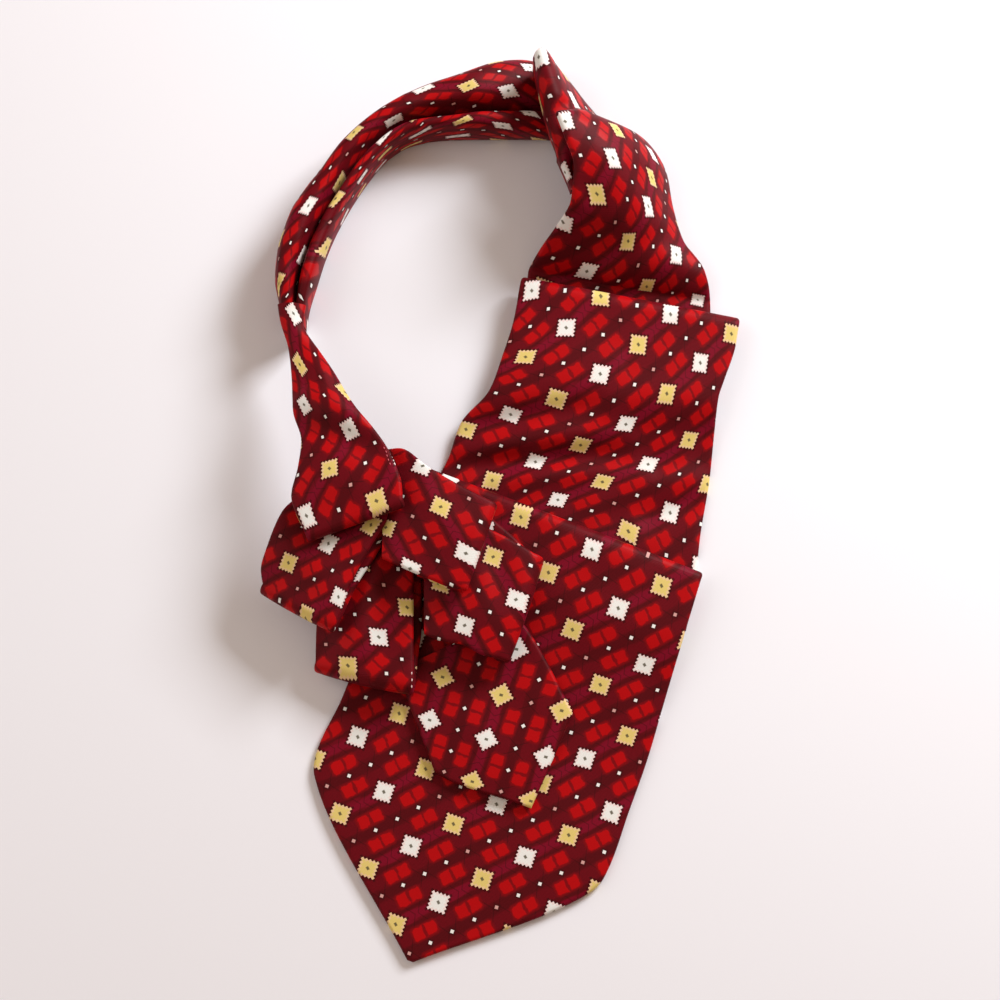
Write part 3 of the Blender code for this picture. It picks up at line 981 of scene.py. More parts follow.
@dataclass(frozen=True)
class Jacquard:
    """Figured silk: serrated stamps, pin dots and paired blocks on a barred twill ground.

    Sizes are in millimetres on the cloth.
    """

    name: str = "figured_silk"
    short_side: float = CLOTH.repeat_across
    long_side: float = CLOTH.repeat_along
    tooth: float = 0.86
    teeth: float = 4.4
    edge_teeth: float = 0.9
    spot_aspect: float = 0.75
    spot_edge: Figure = Figure(0.42, 0.12, 0.9)
    dot_edge: Figure = Figure(0.72, 0.1)
    dot_rim_edge: Figure = Figure(1.52, 0.4, 0.55)
    block_apart: float = 2.2
    block_half: float = 1.85
    block_tall: float = 2.0
    block_first: float = 0.285
    block_second: float = 0.705
    block_corner: float = 0.55
    block_chamfer: float = 0.7
    block_edge: Figure = Figure(-0.12, 0.22)
    halo_edge: Figure = Figure(0.45, 0.5, 0.8)
    ragged: float = 1.5
    ragged_grain: tuple[float, float] = (9.0, 3.0)
    fleck_grain: tuple[float, float] = (26.0, 3.0)
    brush_grain: tuple[float, float] = (1.0, 2.0)
    brush_scale: tuple[float, float, float] = (2.2, 14.0, 1.0)
    brush_turn: float = 0.12
    wander: float = 2.6
    wine_edge: Figure = Figure(1.5, 0.5, 0.9)
    stamp_bar_at: float = 2.6
    stamp_bar_edge: Figure = Figure(0.75, 0.45, 0.5)
    dot_bar_edge: Figure = Figure(1.9, 0.7, 0.5)
    net_slope: float = 1.6
    net_at: float = 11.2
    net_edge: Figure = Figure(0.22, 0.2, 0.6)
    ground_fleck: float = 0.45
    block_fleck: float = 0.25
    rim_share: float = 0.7
    pink_share: float = 0.4
    thread_width: float = 0.42
    thread_share: float = 0.22
    twill: float = 0.55
    twill_height: float = 0.6
    stamp_height: float = 0.9
    block_height: float = 0.45
    ground: Colour = plain(110, 6, 20)
    wine: Colour = plain(122, 8, 34)
    bar: Colour = plain(60, 8, 10)
    halo: Colour = plain(128, 6, 12)
    block: Colour = plain(180, 8, 13)
    white: Colour = plain(238, 236, 232)
    gold: Colour = plain(226, 200, 118)
    pink: Colour = plain(238, 186, 184)
    spot: Colour = plain(84, 76, 56)
    dim_dot: Colour = plain(206, 156, 150)
    outline: Colour = plain(52, 6, 8)
    roughness: float = 0.5
    smoother: float = 0.06
    sheen: float = 0.03
    sheen_roughness: float = 0.42
    sheen_tint: Colour = (1.0, 0.3, 0.35)
    specular: float = 0.08
    relief: float = 0.00012
    relief_strength: float = 0.6

    def coordinates(self, graph: Graph) -> tuple[Socket, Socket, Socket]:
        """The piece's own pattern coordinates, and its place for noise."""
        uv = graph.add("ShaderNodeUVMap", uv_map="Repeat")
        parts = graph.add("ShaderNodeSeparateXYZ")
        graph.feed(parts.inputs[0], uv.outputs[0])
        return parts.outputs[0], parts.outputs[1], uv.outputs[0]

    def centred(self, graph: Graph, value: Number, shift: float) -> Socket:
        """Distance in repeats, with its sign, from the nearest line at a shift."""
        moved = graph.less(value, shift)
        return graph.less(moved, graph.math("ROUND", moved))

    def figure(self, graph: Graph, u: Socket, v: Socket, place: Socket) -> dict[str, Socket]:
        """Masks of each woven figure.

        Args:
            graph: the graph to add to.
            u: repeats along the short side.
            v: repeats along the long side.
            place: both of them, for noise.

        Returns:
            A mask for each figure, by name.
        """
        across = graph.size(self.centred(graph, u, 0.0))
        along = graph.size(self.centred(graph, v, 0.0))
        x = graph.product(across, self.short_side)
        y = graph.product(along, self.long_side)
        step_x = graph.math("FLOOR", graph.total(graph.product(x, 1.0 / self.tooth), 0.5))
        step_y = graph.math("FLOOR", graph.total(graph.product(y, 1.0 / self.tooth), 0.5))
        steps = graph.total(step_x, step_y)
        near = graph.less(0.25, graph.size(graph.less(across, 0.25)))
        dot_y = graph.less(0.5 * self.long_side, y)
        from_dot = graph.total(graph.product(near, self.short_side), dot_y)
        odd = graph.math("PINGPONG", graph.math("ROUND", u), 1.0)
        pair_x = graph.product(graph.size(self.centred(graph, u, 0.5)), self.short_side)
        first = graph.size(self.centred(graph, v, self.block_first))
        second = graph.size(self.centred(graph, v, self.block_second))
        pair_y = graph.product(graph.smallest(first, second), self.long_side)
        beside = graph.less(graph.size(graph.less(pair_x, self.block_apart)), self.block_half)
        above = graph.less(pair_y, self.block_tall)
        corner = self.block_apart + self.block_half + self.block_tall - self.block_corner
        chamfer = graph.product(graph.less(graph.total(pair_x, pair_y), corner), self.block_chamfer)
        ragged = graph.product(graph.less(graph.grain(place, *self.ragged_grain), 0.5), self.ragged)
        block = graph.total(graph.largest(beside, above, chamfer), ragged)
        halo = graph.largest(graph.less(pair_x, self.block_apart + self.block_half), above, chamfer)
        net = graph.less(graph.total(y, graph.product(x, self.net_slope)), self.net_at)
        return {
            "x": x,
            "y": y,
            "stamp": graph.math("LESS_THAN", steps, self.teeth),
            "rim": graph.math("LESS_THAN", steps, self.teeth + 1.0),
            "edge": graph.math("GREATER_THAN", steps, self.teeth - self.edge_teeth),
            "spot": graph.inside(graph.largest(x, graph.product(y, self.spot_aspect)), self.spot_edge),
            "odd": odd,
            "dot": graph.inside(from_dot, self.dot_edge),
            "dot_rim": graph.inside(from_dot, self.dot_rim_edge),
            "dot_y": dot_y,
            "dim": graph.product(odd, graph.math("LESS_THAN", across, 0.25)),
            "block": graph.inside(block, self.block_edge),
            "halo": graph.inside(halo, self.halo_edge),
            "net": graph.inside(graph.size(net), self.net_edge),
        }

    def colour(self, graph: Graph, masks: dict[str, Socket], place: Socket) -> Socket:
        """Colour of the cloth, laid up from the ground to the brocaded stamps."""
        fleck = graph.grain(place, *self.fleck_grain)
        stroke = graph.add("ShaderNodeMapping")
        graph.feed(stroke.inputs["Vector"], place)
        stroke.inputs["Scale"].default_value = self.brush_scale
        stroke.inputs["Rotation"].default_value = (0.0, 0.0, self.brush_turn)
        brush = graph.grain(stroke.outputs[0], *self.brush_grain)
        wander = graph.product(graph.less(brush, 0.5), self.wander)
        beside = graph.total(masks["y"], wander)
        from_bar = graph.size(graph.less(beside, self.stamp_bar_at))
        colour = graph.paint(graph.product(fleck, self.ground_fleck), self.ground, self.bar)
        blocks = graph.paint(graph.product(fleck, self.block_fleck), self.block, self.halo)
        dots = graph.paint(masks["dim"], self.white, self.dim_dot)
        laid = (
            (graph.inside(beside, self.wine_edge), self.wine),
            (graph.inside(from_bar, self.stamp_bar_edge), self.bar),
            (graph.inside(graph.total(masks["dot_y"], wander), self.dot_bar_edge), self.bar),
            (masks["net"], self.outline),
            (masks["halo"], self.halo),
            (masks["block"], blocks),
            (masks["dot_rim"], self.outline),
            (masks["dot"], dots),
            (graph.product(masks["rim"], self.rim_share), self.outline),
        )
        for share, over in laid:
            colour = graph.paint(share, colour, over)
        threads = graph.math("PINGPONG", graph.product(masks["x"], 1.0 / self.thread_width), 0.5)
        stamp = graph.paint(masks["odd"], self.white, self.gold)
        stamp = graph.paint(graph.product(threads, self.thread_share), stamp, self.spot)
        stamp = graph.paint(graph.product(masks["edge"], self.pink_share), stamp, self.pink)
        stamp = graph.paint(masks["spot"], stamp, self.spot)
        return graph.paint(masks["stamp"], colour, stamp)

    def height(self, graph: Graph, masks: dict[str, Socket], u: Socket, v: Socket) -> Socket:
        """Relief of the weave: twill ribs, flat blocks and raised stamps."""
        across = graph.product(u, self.short_side / self.twill)
        slant = graph.total(across, graph.product(v, self.long_side / self.twill))
        ribs = graph.math("PINGPONG", slant, 0.5)
        quiet = graph.less(1.0, graph.largest(masks["block"], masks["stamp"]))
        stamp = graph.product(masks["stamp"], self.stamp_height)
        block = graph.product(masks["block"], self.block_height)
        return graph.total(graph.product(ribs, quiet, self.twill_height), stamp, block)

    def build(self) -> bpy.types.Material:
        """Make the finish."""
        material, shader = new_finish(self.name)
        graph = Graph(material.node_tree)
        u, v, place = self.coordinates(graph)
        masks = self.figure(graph, u, v, place)
        graph.feed(shader.inputs["Base Color"], self.colour(graph, masks, place))
        smooth = graph.largest(masks["stamp"], masks["block"])
        roughness = graph.less(self.roughness, graph.product(smooth, self.smoother))
        graph.feed(shader.inputs["Roughness"], roughness)
        shader.inputs["Sheen Weight"].default_value = self.sheen
        shader.inputs["Sheen Roughness"].default_value = self.sheen_roughness
        shader.inputs["Sheen Tint"].default_value = (*self.sheen_tint, 1.0)
        shader.inputs["Specular IOR Level"].default_value = self.specular
        bump = graph.add("ShaderNodeBump")
        bump.inputs["Strength"].default_value = self.relief_strength
        bump.inputs["Distance"].default_value = self.relief
        graph.feed(bump.inputs["Height"], self.height(graph, masks, u, v))
        graph.feed(shader.inputs["Normal"], bump.outputs[0])
        return material


@dataclass(frozen=True)
class Thread:
    """Finish of a sewing thread."""

    name: str
    colour: Colour
    roughness: float = 0.45

    def build(self) -> bpy.types.Material:
        """Make the finish."""
        material, shader = new_finish(self.name)
        shader.inputs["Base Color"].default_value = (*self.colour, 1.0)
        shader.inputs["Roughness"].default_value = self.roughness
        return material


@dataclass(frozen=True)
class Stitches:
    """A row of hand stitches along the edge of one piece, in millimetres on the table."""

    name: str
    over: str
    start: tuple[float, float, float]
    end: tuple[float, float, float]
    thread: Thread
    pitch: float
    length: float
    width: float
    wobble: float = 0.16
    points: int = 8
    seed: int = 3
    thread_sides: int = 10
    thread_rings: int = 6

    def route(self, surface: BVHTree) -> bpy.types.Object:
        """Lay the row's line on the cloth, as an object in metres.

        Args:
            surface: the finished piece that the stitches hold.

        Returns:
            An object of points and edges.
        """
        mesh = bmesh.new()
        first, last = np.array(self.start), np.array(self.end)
        verts = []
        for k in range(self.points):
            place = first + (last - first) * k / (self.points - 1)
            place = (place - CLOTH.middle) * MM
            verts.append(mesh.verts.new(surface.find_nearest(Vector(place))[0]))
        for near, far in zip(verts, verts[1:]):
            mesh.edges.new((near, far))
        return linked(self.name, data_from(mesh, self.name))

    def tree(self) -> bpy.types.NodeTree:
        """Nodes that lay short threads along a line.

        Returns:
            The tree, with its sizes as named inputs.
        """
        tree = bpy.data.node_groups.new("stitch_row", "GeometryNodeTree")
        face = tree.interface
        face.new_socket("Line", in_out="INPUT", socket_type="NodeSocketGeometry")
        for label in ("Pitch", "Length", "Width", "Wobble"):
            face.new_socket(label, in_out="INPUT", socket_type="NodeSocketFloat")
        face.new_socket("Seed", in_out="INPUT", socket_type="NodeSocketInt")
        face.new_socket("Thread", in_out="INPUT", socket_type="NodeSocketMaterial")
        face.new_socket("Stitches", in_out="OUTPUT", socket_type="NodeSocketGeometry")
        graph = Graph(tree)
        given = graph.add("NodeGroupInput").outputs
        curve = graph.fed("GeometryNodeMeshToCurve", Mesh=given["Line"])
        spacing = {"Curve": curve, "Length": given["Pitch"]}
        points = graph.fed("GeometryNodeResampleCurve", {"mode": "LENGTH"}, **spacing)
        thread = graph.fed(
            "GeometryNodeMeshUVSphere", Segments=self.thread_sides, Rings=self.thread_rings, Radius=0.5
        )
        tangent = graph.fed("GeometryNodeInputTangent")
        turned = graph.fed("FunctionNodeAlignRotationToVector", {"axis": "Z"}, Vector=tangent)
        back = graph.math("MULTIPLY", given["Wobble"], -1.0)
        spread = {"Min": back, "Max": given["Wobble"], "Seed": given["Seed"]}
        loose = graph.fed("FunctionNodeRandomValue", {"data_type": "FLOAT_VECTOR"}, **spread)
        turn = {"Rotation": turned, "Rotate By": loose}
        free = graph.fed("FunctionNodeRotateRotation", {"rotation_space": "LOCAL"}, **turn)
        shape = graph.fed("ShaderNodeCombineXYZ", X=given["Width"], Y=given["Width"], Z=given["Length"])
        laid = graph.fed(
            "GeometryNodeInstanceOnPoints", Points=points, Instance=thread, Rotation=free, Scale=shape
        )
        real = graph.fed("GeometryNodeRealizeInstances", Geometry=laid)
        dyed = graph.fed("GeometryNodeSetMaterial", Geometry=real, Material=given["Thread"])
        graph.feed(graph.add("NodeGroupOutput").inputs["Stitches"], dyed)
        return tree

    def build(self, surface: BVHTree) -> bpy.types.Object:
        """Make the row of stitches as a plain mesh.

        Args:
            surface: the finished piece that the stitches hold.

        Returns:
            The finished piece.
        """
        row = self.route(surface)
        maker = row.modifiers.new("stitches", "NODES")
        maker.node_group = self.tree()
        given = {
            "Pitch": self.pitch * MM,
            "Length": self.length * MM,
            "Width": self.width * MM,
            "Wobble": self.wobble,
            "Seed": self.seed,
            "Thread": self.thread.build(),
        }
        for item in maker.node_group.interface.items_tree:
            if item.in_out == "INPUT" and item.name in given:
                maker[item.identifier] = given[item.name]
        made = row.evaluated_get(bpy.context.evaluated_depsgraph_get())
        finished = bpy.data.meshes.new_from_object(made)
        row.modifiers.remove(maker)
        row.data = finished
        finished.shade_smooth()
        return row

    def dress(self, piece: bpy.types.Object) -> None:
        """Say where the stitches ride."""
        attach(piece, BODY)


@dataclass(frozen=True)
class Table:
    """Pale table top that the cravat lies on."""

    half: float = 1.6
    clearance: float = 0.00005
    colour: Colour = plain(240, 240, 247)
    cloud_colour: Colour = plain(236, 232, 238)
    cloud_grain: tuple[float, float] = (3.0, 2.0)
    cloud_share: float = 0.6
    roughness: float = 0.7

    def build(self) -> bpy.types.Object:
        """Make the table top, which isn't part of the object."""
        mesh = bmesh.new()
        bmesh.ops.create_grid(mesh, x_segments=2, y_segments=2, size=self.half)
        bmesh.ops.translate(mesh, verts=mesh.verts, vec=(0.0, 0.0, -self.clearance))
        data = data_from(mesh, "table_top")
        material, shader = new_finish("pale_table")
        graph = Graph(material.node_tree)
        place = graph.add("ShaderNodeTexCoord")
        cloudy = graph.product(graph.grain(place.outputs["Object"], *self.cloud_grain), self.cloud_share)
        graph.feed(shader.inputs["Base Color"], graph.paint(cloudy, self.colour, self.cloud_colour))
        shader.inputs["Roughness"].default_value = self.roughness
        data.materials.append(material)
        top = linked("table_top", data)
        return top


@dataclass(frozen=True)
class Studio:
    """Camera at the photograph's angle, and soft light from a window up and to the right."""

    sensor: float = 36.0
    lamps: tuple[Lamp, ...] = (
        Lamp("window", (0.56, 0.60, 0.52), 0.36, 12.0, (0.95, 0.98, 1.0)),
        Lamp("fill", (-0.90, -0.05, 0.75), 1.2, 4.4, (0.97, 0.97, 1.0)),
    )
    surround: Colour = (1.0, 0.76, 0.55)
    surround_strength: float = 0.36

    @staticmethod
    def aim(item: bpy.types.Object, place: Vector, away: Vector) -> None:
        """Put a camera or lamp at a place, with its back to a direction."""
        item.location = place
        item.rotation_euler = (-away).to_track_quat("-Z", "Y").to_euler()

    def camera(self) -> None:
        """Look down on the cravat as the photograph does."""
        data = bpy.data.cameras.new("camera")
        data.lens = self.sensor * VIEW.distance / (VIEW.pixel * VIEW.pixels)
        data.sensor_width = self.sensor
        camera = linked("camera", data)
        place = (VIEW.back * VIEW.distance - CLOTH.middle) * MM
        self.aim(camera, Vector(place), Vector(VIEW.back))
        bpy.context.scene.camera = camera

    def light(self) -> None:
        """Window light with a weak fill, and an even warm surround."""
        for lamp in self.lamps:
            data = bpy.data.lights.new(lamp.name, "AREA")
            data.size = lamp.size
            data.energy = lamp.watts
            data.color = lamp.colour
            self.aim(linked(lamp.name, data), Vector(lamp.place), Vector(lamp.place))
        world = bpy.data.worlds.new("surround")
        world.use_nodes = True
        background = world.node_tree.nodes["Background"]
        background.inputs["Color"].default_value = (*self.surround, 1.0)
        background.inputs["Strength"].default_value = self.surround_strength
        bpy.context.scene.world = world
        bpy.context.scene.view_settings.view_transform = "Standard"


ON_TABLE = CLOTH.thickness / 2.0
THIRD = ON_TABLE + 2.0 * (CLOTH.thickness + CLOTH.gap)

FRONT_BLADE = (
    Section(-28.3, -144.7, ON_TABLE, -26.5, -145.4, ON_TABLE, 0.0),
    Section(-56.8, -91.4, ON_TABLE, 28.2, -124.0, ON_TABLE, 0.3),
    Section(-57.9, -86.5, ON_TABLE, 31.9, -120.0, ON_TABLE, 0.4),
    Section(-49.1, -63.3, ON_TABLE, 40.3, -98.5, ON_TABLE, 0.5),
    Section(-43.3, -47.8, 1.5, 46.0, -83.0, 1.4, 0.7),
    Section(-36.2, -29.0, 3.2, 51.8, -64.0, 3.0, 0.8),
    Section(-30.3, -10.8, 6.4, 57.6, -45.2, 6.2, 0.8),
    Section(-24.4, 7.0, THIRD, 63.2, -27.5, THIRD, 1.0),
)
UPPER_PLEAT = (
    Section(-27.4, -9.0, ON_TABLE, 58.6, -42.8, ON_TABLE, 0.0),
    Section(-24.6, -2.0, ON_TABLE, 61.6, -30.0, ON_TABLE, 0.0),
    Section(-20.2, 6.3, ON_TABLE, 63.7, -12.5, ON_TABLE, 0.0),
    Section(-16.6, 13.5, 1.3, 67.2, 6.9, ON_TABLE, 0.2),
    Section(-12.6, 24.6, 3.6, 68.6, 19.6, 2.8, 1.2),
    Section(-3.5, 34.4, 7.2, 69.9, 31.4, 7.0, 1.2),
    Section(0.6, 45.4, 7.8, 72.6, 39.7, 7.4, 0.6),
    Section(4.5, 58.3, 8.4, 75.7, 48.5, 7.6, 0.4),
    Section(6.4, 69.4, 9.0, 77.0, 55.6, 7.8, 0.6),
)
SHOULDER = (
    Section(8.0, 38.0, ON_TABLE, 66.0, 36.5, ON_TABLE, 0.0),
    Section(8.3, 57.0, ON_TABLE, 68.6, 50.5, ON_TABLE, 0.0),
    Section(9.2, 76.6, 1.3, 68.6, 66.0, 1.3, 0.2),
    Section(10.8, 79.4, 4.2, 68.2, 69.6, 3.6, 1.4),
    Section(13.4, 82.2, 9.6, 66.5, 75.4, 5.4, 3.0),
    Section(18.5, 87.0, 18.0, 60.0, 84.9, 5.4, 5.0),
    Section(22.5, 91.5, 27.0, 56.5, 96.7, 5.2, 6.5),
    Section(23.4, 101.2, 31.8, 53.5, 109.4, 7.0, 6.8),
    Section(20.8, 109.2, 34.2, 44.5, 118.6, 13.5, 5.2),
    Section(18.2, 116.4, 35.4, 30.8, 120.6, 24.2, 2.0),
)
NECK_TURN = (
    Section(11.6, 141.8, 16.0, 22.6, 98.2, 15.0, 0.6),
    Section(11.6, 142.8, 24.0, 22.8, 97.6, 20.6, 0.9),
    Section(12.8, 143.9, 27.5, 24.0, 97.0, 24.2, 1.2),
    Section(14.8, 144.6, 21.6, 30.4, 99.6, 20.0, 2.0),
    Section(16.0, 147.4, 9.6, 38.0, 105.6, 11.0, 2.2),
    Section(16.6, 149.2, ON_TABLE, 45.0, 112.0, ON_TABLE, 0.6),
)
LEFT_NECK = (
    Section(-70.8, 60.0, 16.2, -62.0, 59.4, 16.6, 1.6),
    Section(-69.8, 54.7, 16.8, -62.8, 53.6, 17.2, 1.6),
    Section(-66.9, 44.9, 18.2, -58.0, 44.3, 18.8, 1.6),
    Section(-65.4, 34.0, 21.0, -51.2, 33.6, 22.4, 1.8),
    Section(-64.5, 22.4, 23.6, -44.6, 22.0, 25.6, 1.8),
    Section(-61.8, 12.4, 24.6, -36.4, 12.4, 26.6, 1.6),
    Section(-62.8, 3.7, 24.4, -32.2, 4.5, 26.4, 1.2),
    Section(-64.6, -4.8, 24.6, -30.4, -1.0, 26.2, 0.7),
    Section(-60.0, -16.8, 24.4, -30.0, -6.0, 26.2, 0.3),
)
PLEAT_LEFT = (
    Section(-63.6, -4.0, 18.8, -35.6, -3.0, 19.4, 0.0),
    Section(-67.6, -8.0, 18.8, -34.8, -9.0, 19.4, 0.5),
    Section(-71.9, -17.7, 17.4, -39.4, -18.7, 19.2, 0.8),
    Section(-74.3, -26.0, 15.6, -45.3, -29.6, 18.4, 1.0),
    Section(-73.6, -30.2, 14.2, -50.2, -43.6, 17.8, 1.0),
)
PLEAT_RIGHT = (
    Section(-35.4, 12.6, 15.4, -36.2, -23.6, 18.4, 0.0),
    Section(-31.2, 12.2, 18.2, -31.6, -26.0, 20.3, 0.4),
    Section(-22.2, 5.4, 20.6, -22.1, -30.2, 20.4, 0.6),
    Section(-12.2, -0.6, 20.6, -14.9, -33.0, 20.3, 0.8),
    Section(-3.0, -5.2, 20.2, -12.8, -33.2, 20.0, 1.0),
)
PLEAT_UNDER = (
    Section(-23.6, -3.4, 13.6, -23.4, -46.2, 13.0, 0.0),
    Section(-15.7, -7.4, 14.0, -18.8, -48.2, 13.4, 0.6),
    Section(-2.8, -13.2, 14.4, -11.4, -49.6, 13.6, 0.9),
    Section(6.3, -17.9, 14.2, -5.0, -53.0, 13.6, 1.0),
    Section(10.6, -20.6, 13.8, -0.6, -53.8, 13.2, 1.0),
)
PLEAT_LOWER = (
    Section(-54.0, -14.0, 6.4, -28.0, -14.0, 9.6, 1.4),
    Section(-55.4, -24.0, 6.6, -27.0, -24.6, 12.0, 2.0),
    Section(-56.8, -34.7, 6.6, -26.9, -35.1, 11.4, 2.2),
    Section(-57.4, -45.8, 6.8, -26.8, -47.5, 11.2, 2.0),
    Section(-57.4, -53.6, 7.2, -26.4, -61.6, 11.0, 1.6),
)
TAIL_BLADE = (
    Section(-31.6, -55.6, 4.2, 4.8, -39.0, 6.2, 0.0),
    Section(-30.8, -59.0, 4.0, 7.6, -42.0, 6.4, 0.2),
    Section(-28.3, -66.7, 4.0, 14.4, -53.0, 5.4, 0.4),
    Section(-23.4, -79.4, 3.95, 20.4, -65.0, 4.2, 0.4),
    Section(-21.2, -85.0, 3.95, 22.6, -69.4, 4.0, 0.4),
    Section(-20.2, -87.4, 3.95, 21.6, -72.0, 4.0, 0.4),
    Section(8.0, -98.4, 3.95, 9.6, -99.0, 3.95, 0.0),
)
NECK_BAND = (
    RollSection(13.4, 147.6, 16.8, 130.8, 19.8, 121.5, 11.5, 3.6, 9.0),
    RollSection(9.4, 148.2, 12.8, 131.0, 16.2, 121.7, 13.5, 3.6, 11.0),
    RollSection(0.0, 146.8, 3.3, 129.8, 5.0, 121.8, 17.0, 4.5, 14.0),
    RollSection(-13.1, 141.1, -8.4, 128.4, -8.0, 121.8, 20.0, 5.0, 16.5),
    RollSection(-26.2, 136.1, -20.6, 126.8, -20.0, 121.5, 20.0, 5.0, 16.5),
    RollSection(-37.6, 129.4, -31.0, 124.0, -29.0, 119.8, 20.0, 5.5, 16.5),
    RollSection(-47.6, 121.4, -39.6, 118.0, -36.6, 115.0, 20.0, 5.5, 17.0),
    RollSection(-56.9, 110.9, -46.9, 109.8, -42.6, 107.4, 20.0, 5.5, 17.5),
    RollSection(-63.8, 99.8, -53.2, 99.8, -48.2, 98.4, 20.0, 5.5, 17.5),
    RollSection(-68.8, 89.5, -58.6, 89.6, -53.4, 88.0, 20.0, 6.0, 17.5),
    RollSection(-71.9, 79.6, -62.2, 80.2, -56.9, 78.6, 20.0, 7.0, 18.0),
    RollSection(-72.6, 70.1, -64.8, 70.1, -59.2, 70.4, 19.5, 8.5, 18.5),
    RollSection(-71.3, 62.6, -65.6, 62.0, -61.6, 62.0, 17.5, 11.0, 17.0),
    RollSection(-70.2, 55.4, -66.2, 54.9, -62.6, 54.4, 14.5, 12.5, 14.5),
)


FRONT_BLADE_PINS = (
    Pin(357.8, 736.2, 2.5, 0, 0), Pin(383.7, 791.6, 2.5, 0, -1), Pin(411.5, 846.3, 2.5, 0, -2),
    Pin(438.4, 901.7, 2.5, 0, -3), Pin(497.1, 804.9, 3, 2, -2), Pin(526, 857.3, 3, 2, -3),
    Pin(585, 758.5, 3, 4, -2), Pin(612.2, 812.2, 2.5, 4, -3), Pin(593.3, 550.2, 8.5, 6, 1),
    Pin(618.2, 608.2, 8, 6, 0), Pin(644.7, 664.9, 5.5, 6, -1), Pin(399.9, 713.7, 2.5, 1, 0),
    Pin(425.8, 768.4, 2.5, 1, -1), Pin(454, 823.8, 3, 1, -2), Pin(482.2, 878.8, 2.5, 1, -3),
    Pin(339.6, 814.2, 2.5, -1, -1), Pin(368.1, 868.6, 2.5, -1, -2), Pin(395.9, 924.3, 2.5, -1, -3),
    Pin(569.4, 835.7, 2.5, 3, -3), Pin(548.5, 572.7, 8.5, 5, 1), Pin(573.4, 630.1, 6.5, 5, 0),
    Pin(600.6, 684.8, 4.5, 5, -1), Pin(628.1, 735.9, 3, 5, -2), Pin(662.3, 585.7, 8, 7, 0),
    Pin(520.4, 516.7, 8.5, 5, 2),
)
UPPER_PLEAT_PINS = (
    Pin(565.5, 325.9, 9.5, 0, 0), Pin(600.1, 375.4, 10, 0, -1), Pin(626, 423.7, 7, 0, -2),
    Pin(647, 465.4, 3.5, 0, -3), Pin(670, 512.3, 1.5, 0, -4), Pin(700.5, 363.2, 9, 2, -2),
    Pin(510.4, 413.6, 6, -2, -1), Pin(534.9, 464.3, 2, -2, -2), Pin(557.9, 500.4, 2.5, -2, -3),
    Pin(670.6, 313.6, 10, 2, -1), Pin(526, 358.7, 9.5, -1, 0), Pin(556.1, 397.3, 8.5, -1, -1),
    Pin(581.3, 446.4, 4.5, -1, -2), Pin(601.2, 481, 3.5, -1, -3), Pin(638.7, 343.8, 9.5, 1, -1),
    Pin(666.6, 394, 9, 1, -2), Pin(689.6, 440.8, 4.5, 1, -3), Pin(706.8, 485.5, 2.5, 1, -4),
    Pin(600.8, 296.9, 10, 1, 0), Pin(465.9, 429, 4.5, -3, -1), Pin(628.7, 532.4, 2.5, -1, -4),
)
SHOULDER_PINS = (
    Pin(587.4, 271.7, 5.9, 0, -1), Pin(563.1, 220.9, 20.6, 0, 0), Pin(599.1, 193.6, 27.9, 1, 0),
    Pin(627.8, 242, 15.4, 1, -1), Pin(647.6, 286.8, 4.7, 1, -2), Pin(611, 159.7, 31.3, 2, 0),
    Pin(647.3, 206.4, 19.9, 2, -1), Pin(676.4, 254.8, 10, 2, -2), Pin(697.9, 300.2, 2.5, 2, -3),
    Pin(617.7, 129.5, 27.7, 3, 0), Pin(652.7, 175.8, 19.2, 3, -1), Pin(652, 155, 17.8, 4, -1),
)
NECK_TURN_PINS = (
    Pin(540, 57, 28.5, 0, 0), Pin(574, 100, 21, 0, -1), Pin(557, 77, 26.5, 0, -0.5),
    Pin(552, 94, 28.5, -0.5, -0.5),
)
LEFT_NECK_PINS = (
    Pin(293, 316, 18.5, -2, -1), Pin(300, 364, 22.5, -1, -1), Pin(341, 393, 26, -1, 0),
    Pin(308, 406, 26.5, 0, -1), Pin(354, 430, 28.5, 0, 0), Pin(327.6, 469, 27, 1, 0),
    Pin(376.5, 500, 27, 1, 1), Pin(308, 516, 26, 2, 0), Pin(304.5, 525.5, 26, 2.2, 0),
    Pin(298, 508, 25.5, 2, -0.25), Pin(318.5, 524, 26.5, 2, 0.25), Pin(382.5, 488.5, 27.5, 0.75, 1),
    Pin(364.5, 492.5, 27.5, 1, 0.75), Pin(319, 379, 25, -1, -0.5), Pin(316, 357, 21.5, -1.5, -0.5),
    Pin(323, 400, 27, -0.5, -0.5), Pin(330, 417, 28, 0, -0.5), Pin(323.5, 434, 27.5, 0.5, -0.5),
    Pin(308, 453, 26.5, 1, -0.5), Pin(300, 477, 26, 1.5, -0.5), Pin(375, 443, 28, 0, 0.5),
    Pin(361, 463, 28, 0.5, 0.5), Pin(350, 487, 27.5, 1, 0.5), Pin(341, 511, 26.5, 1.5, 0.5),
)
PLEAT_LEFT_PINS = (
    Pin(288, 562.7, 19, 1, 0), Pin(306, 619, 16, 1, -1), Pin(328.6, 543, 20.5, 2, 0),
    Pin(337, 598, 19.5, 2, -1),
)
PLEAT_RIGHT_PINS = (
    Pin(388.6, 527.6, 19, 1, 0), Pin(440.6, 506, 23, 1, 1), Pin(409.5, 568, 21.5, 2, 0),
    Pin(466.6, 553, 22.5, 2, 1), Pin(422, 467, 22, 0, 1),
)
PLEAT_UNDER_PINS = (
    Pin(516, 599, 16, 2, 1), Pin(464, 625.7, 15.5, 2, 0),
)
PLEAT_LOWER_PINS = (
    Pin(347, 665, 11.2, 1, 0), Pin(378.6, 637, 12.2, 2, 0), Pin(406.6, 607, 12.6, 3, 0),
)
